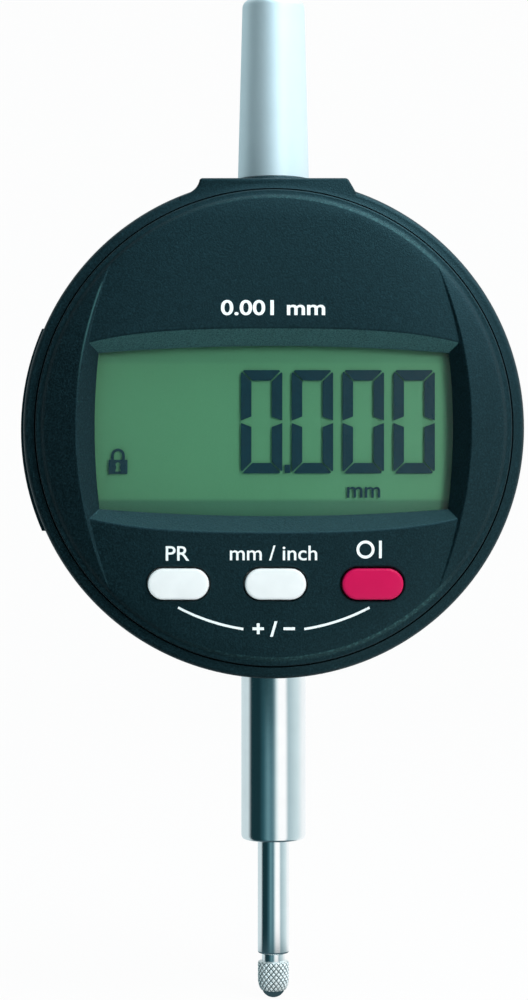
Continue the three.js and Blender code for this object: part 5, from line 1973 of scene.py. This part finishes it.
def lamp(name, place, aim, width, height, power, colour):
    data = bpy.data.lights.new(name, "AREA")
    data.shape = "RECTANGLE"
    data.size = width
    data.size_y = height
    data.energy = power
    data.color = colour
    made = placed(name, data)
    made.location = place
    made.rotation_euler = (Vector(aim) - Vector(place)).to_track_quat("-Z", "Y").to_euler()
    return made


class INDICATOR_OT_stage(Builder, bpy.types.Operator):
    """Sets the floor with its curved backdrop, the soft lamps and the camera"""

    bl_idname = "indicator.stage"
    bl_label = "Stage"

    def execute(self, context):
        settings = context.scene.indicator_studio
        light_world(settings)
        ground_height = CAD_BOX[0].z
        half = settings.floor_size
        front, rear, bend, height = -0.3, 0.45, 0.25, 1.2
        profile = [(front, ground_height), (rear, ground_height)]
        for angle in spread(0, math.pi / 2, 16):
            profile.append((rear + bend * math.sin(angle), ground_height + bend * (1 - math.cos(angle))))
        profile.append((rear + bend, ground_height + height))
        points = [(side * half, y, z) for y, z in profile for side in (-1, 1)]
        faces = [[2 * k, 2 * k + 1, 2 * k + 3, 2 * k + 2] for k in range(len(profile) - 1)]
        mesh = bpy.data.meshes.new("floor")
        mesh.from_pydata(points, [], faces)
        mesh.materials.append(floor_finish())
        mesh.shade_smooth()
        placed("floor", mesh)
        middle = (0.0, 0.0, CENTRE)
        key = lamp("key", (0.27, -0.52, 0.16), middle, 0.2, 0.2, settings.key, (1.0, 1.0, 1.0))
        # The studio's tables hold what shiny faces show, so this lamp lights without being mirrored
        key.visible_glossy = False
        lamp("top", (0.26, -0.20, 0.56), middle, 0.4, 0.3, settings.top, (0.84, 0.97, 1.0))
        data = bpy.data.cameras.new("camera")
        data.lens = settings.focal_length
        data.sensor_fit = "VERTICAL"
        data.sensor_width = 36
        data.sensor_height = 36
        data.clip_start = 0.01
        camera = placed("camera", data)
        camera.location = at(settings.camera_across, settings.distance, settings.camera_height)
        camera.rotation_euler = (math.radians(90), 0.0, 0.0)
        context.scene.camera = camera
        context.scene.view_settings.view_transform = "Standard"
        return {"FINISHED"}


OPERATORS = (
    INDICATOR_OT_stage,
    INDICATOR_OT_housing,
    INDICATOR_OT_rear_cover,
    INDICATOR_OT_front_cover,
    INDICATOR_OT_stem_and_cap,
    INDICATOR_OT_spindle,
    INDICATOR_OT_return_spring,
    INDICATOR_OT_buttons,
    INDICATOR_OT_readout,
    INDICATOR_OT_labels,
    INDICATOR_OT_battery_drawer,
    INDICATOR_OT_inside,
)

GROUPS = {
    "indicator_cover": CoverSizes,
    "indicator_housing": HousingSizes,
    "indicator_spindle": SpindleSizes,
    "indicator_buttons": ButtonSizes,
    "indicator_readout": ReadoutSizes,
    "indicator_labels": LabelSizes,
    "indicator_colours": Colours,
    "indicator_studio": Studio,
}


class INDICATOR_PT_pieces(bpy.types.Panel):
    """Lists the pieces and their sizes"""

    bl_idname = "INDICATOR_PT_pieces"
    bl_label = "Dial Indicator"
    bl_space_type = "VIEW_3D"
    bl_region_type = "UI"
    bl_category = "Dial Indicator"

    def draw(self, context):
        for operator in OPERATORS:
            self.layout.operator(operator.bl_idname)
        for name, group in GROUPS.items():
            box = self.layout.box()
            box.label(text=group.__doc__)
            for key in group.__annotations__:
                box.prop(getattr(context.scene, name), key)


def register():
    for name, group in GROUPS.items():
        bpy.utils.register_class(group)
        setattr(bpy.types.Scene, name, PointerProperty(type=group))
    for kind in (*OPERATORS, INDICATOR_PT_pieces):
        bpy.utils.register_class(kind)


def unregister():
    for kind in (INDICATOR_PT_pieces, *reversed(OPERATORS)):
        bpy.utils.unregister_class(kind)
    for name, group in GROUPS.items():
        delattr(bpy.types.Scene, name)
        bpy.utils.unregister_class(group)


def main():
    register()
    for operator in OPERATORS:
        name = operator.bl_idname.split(".")[1]
        getattr(bpy.ops.indicator, name)()


if __name__ == "__main__":
    main()
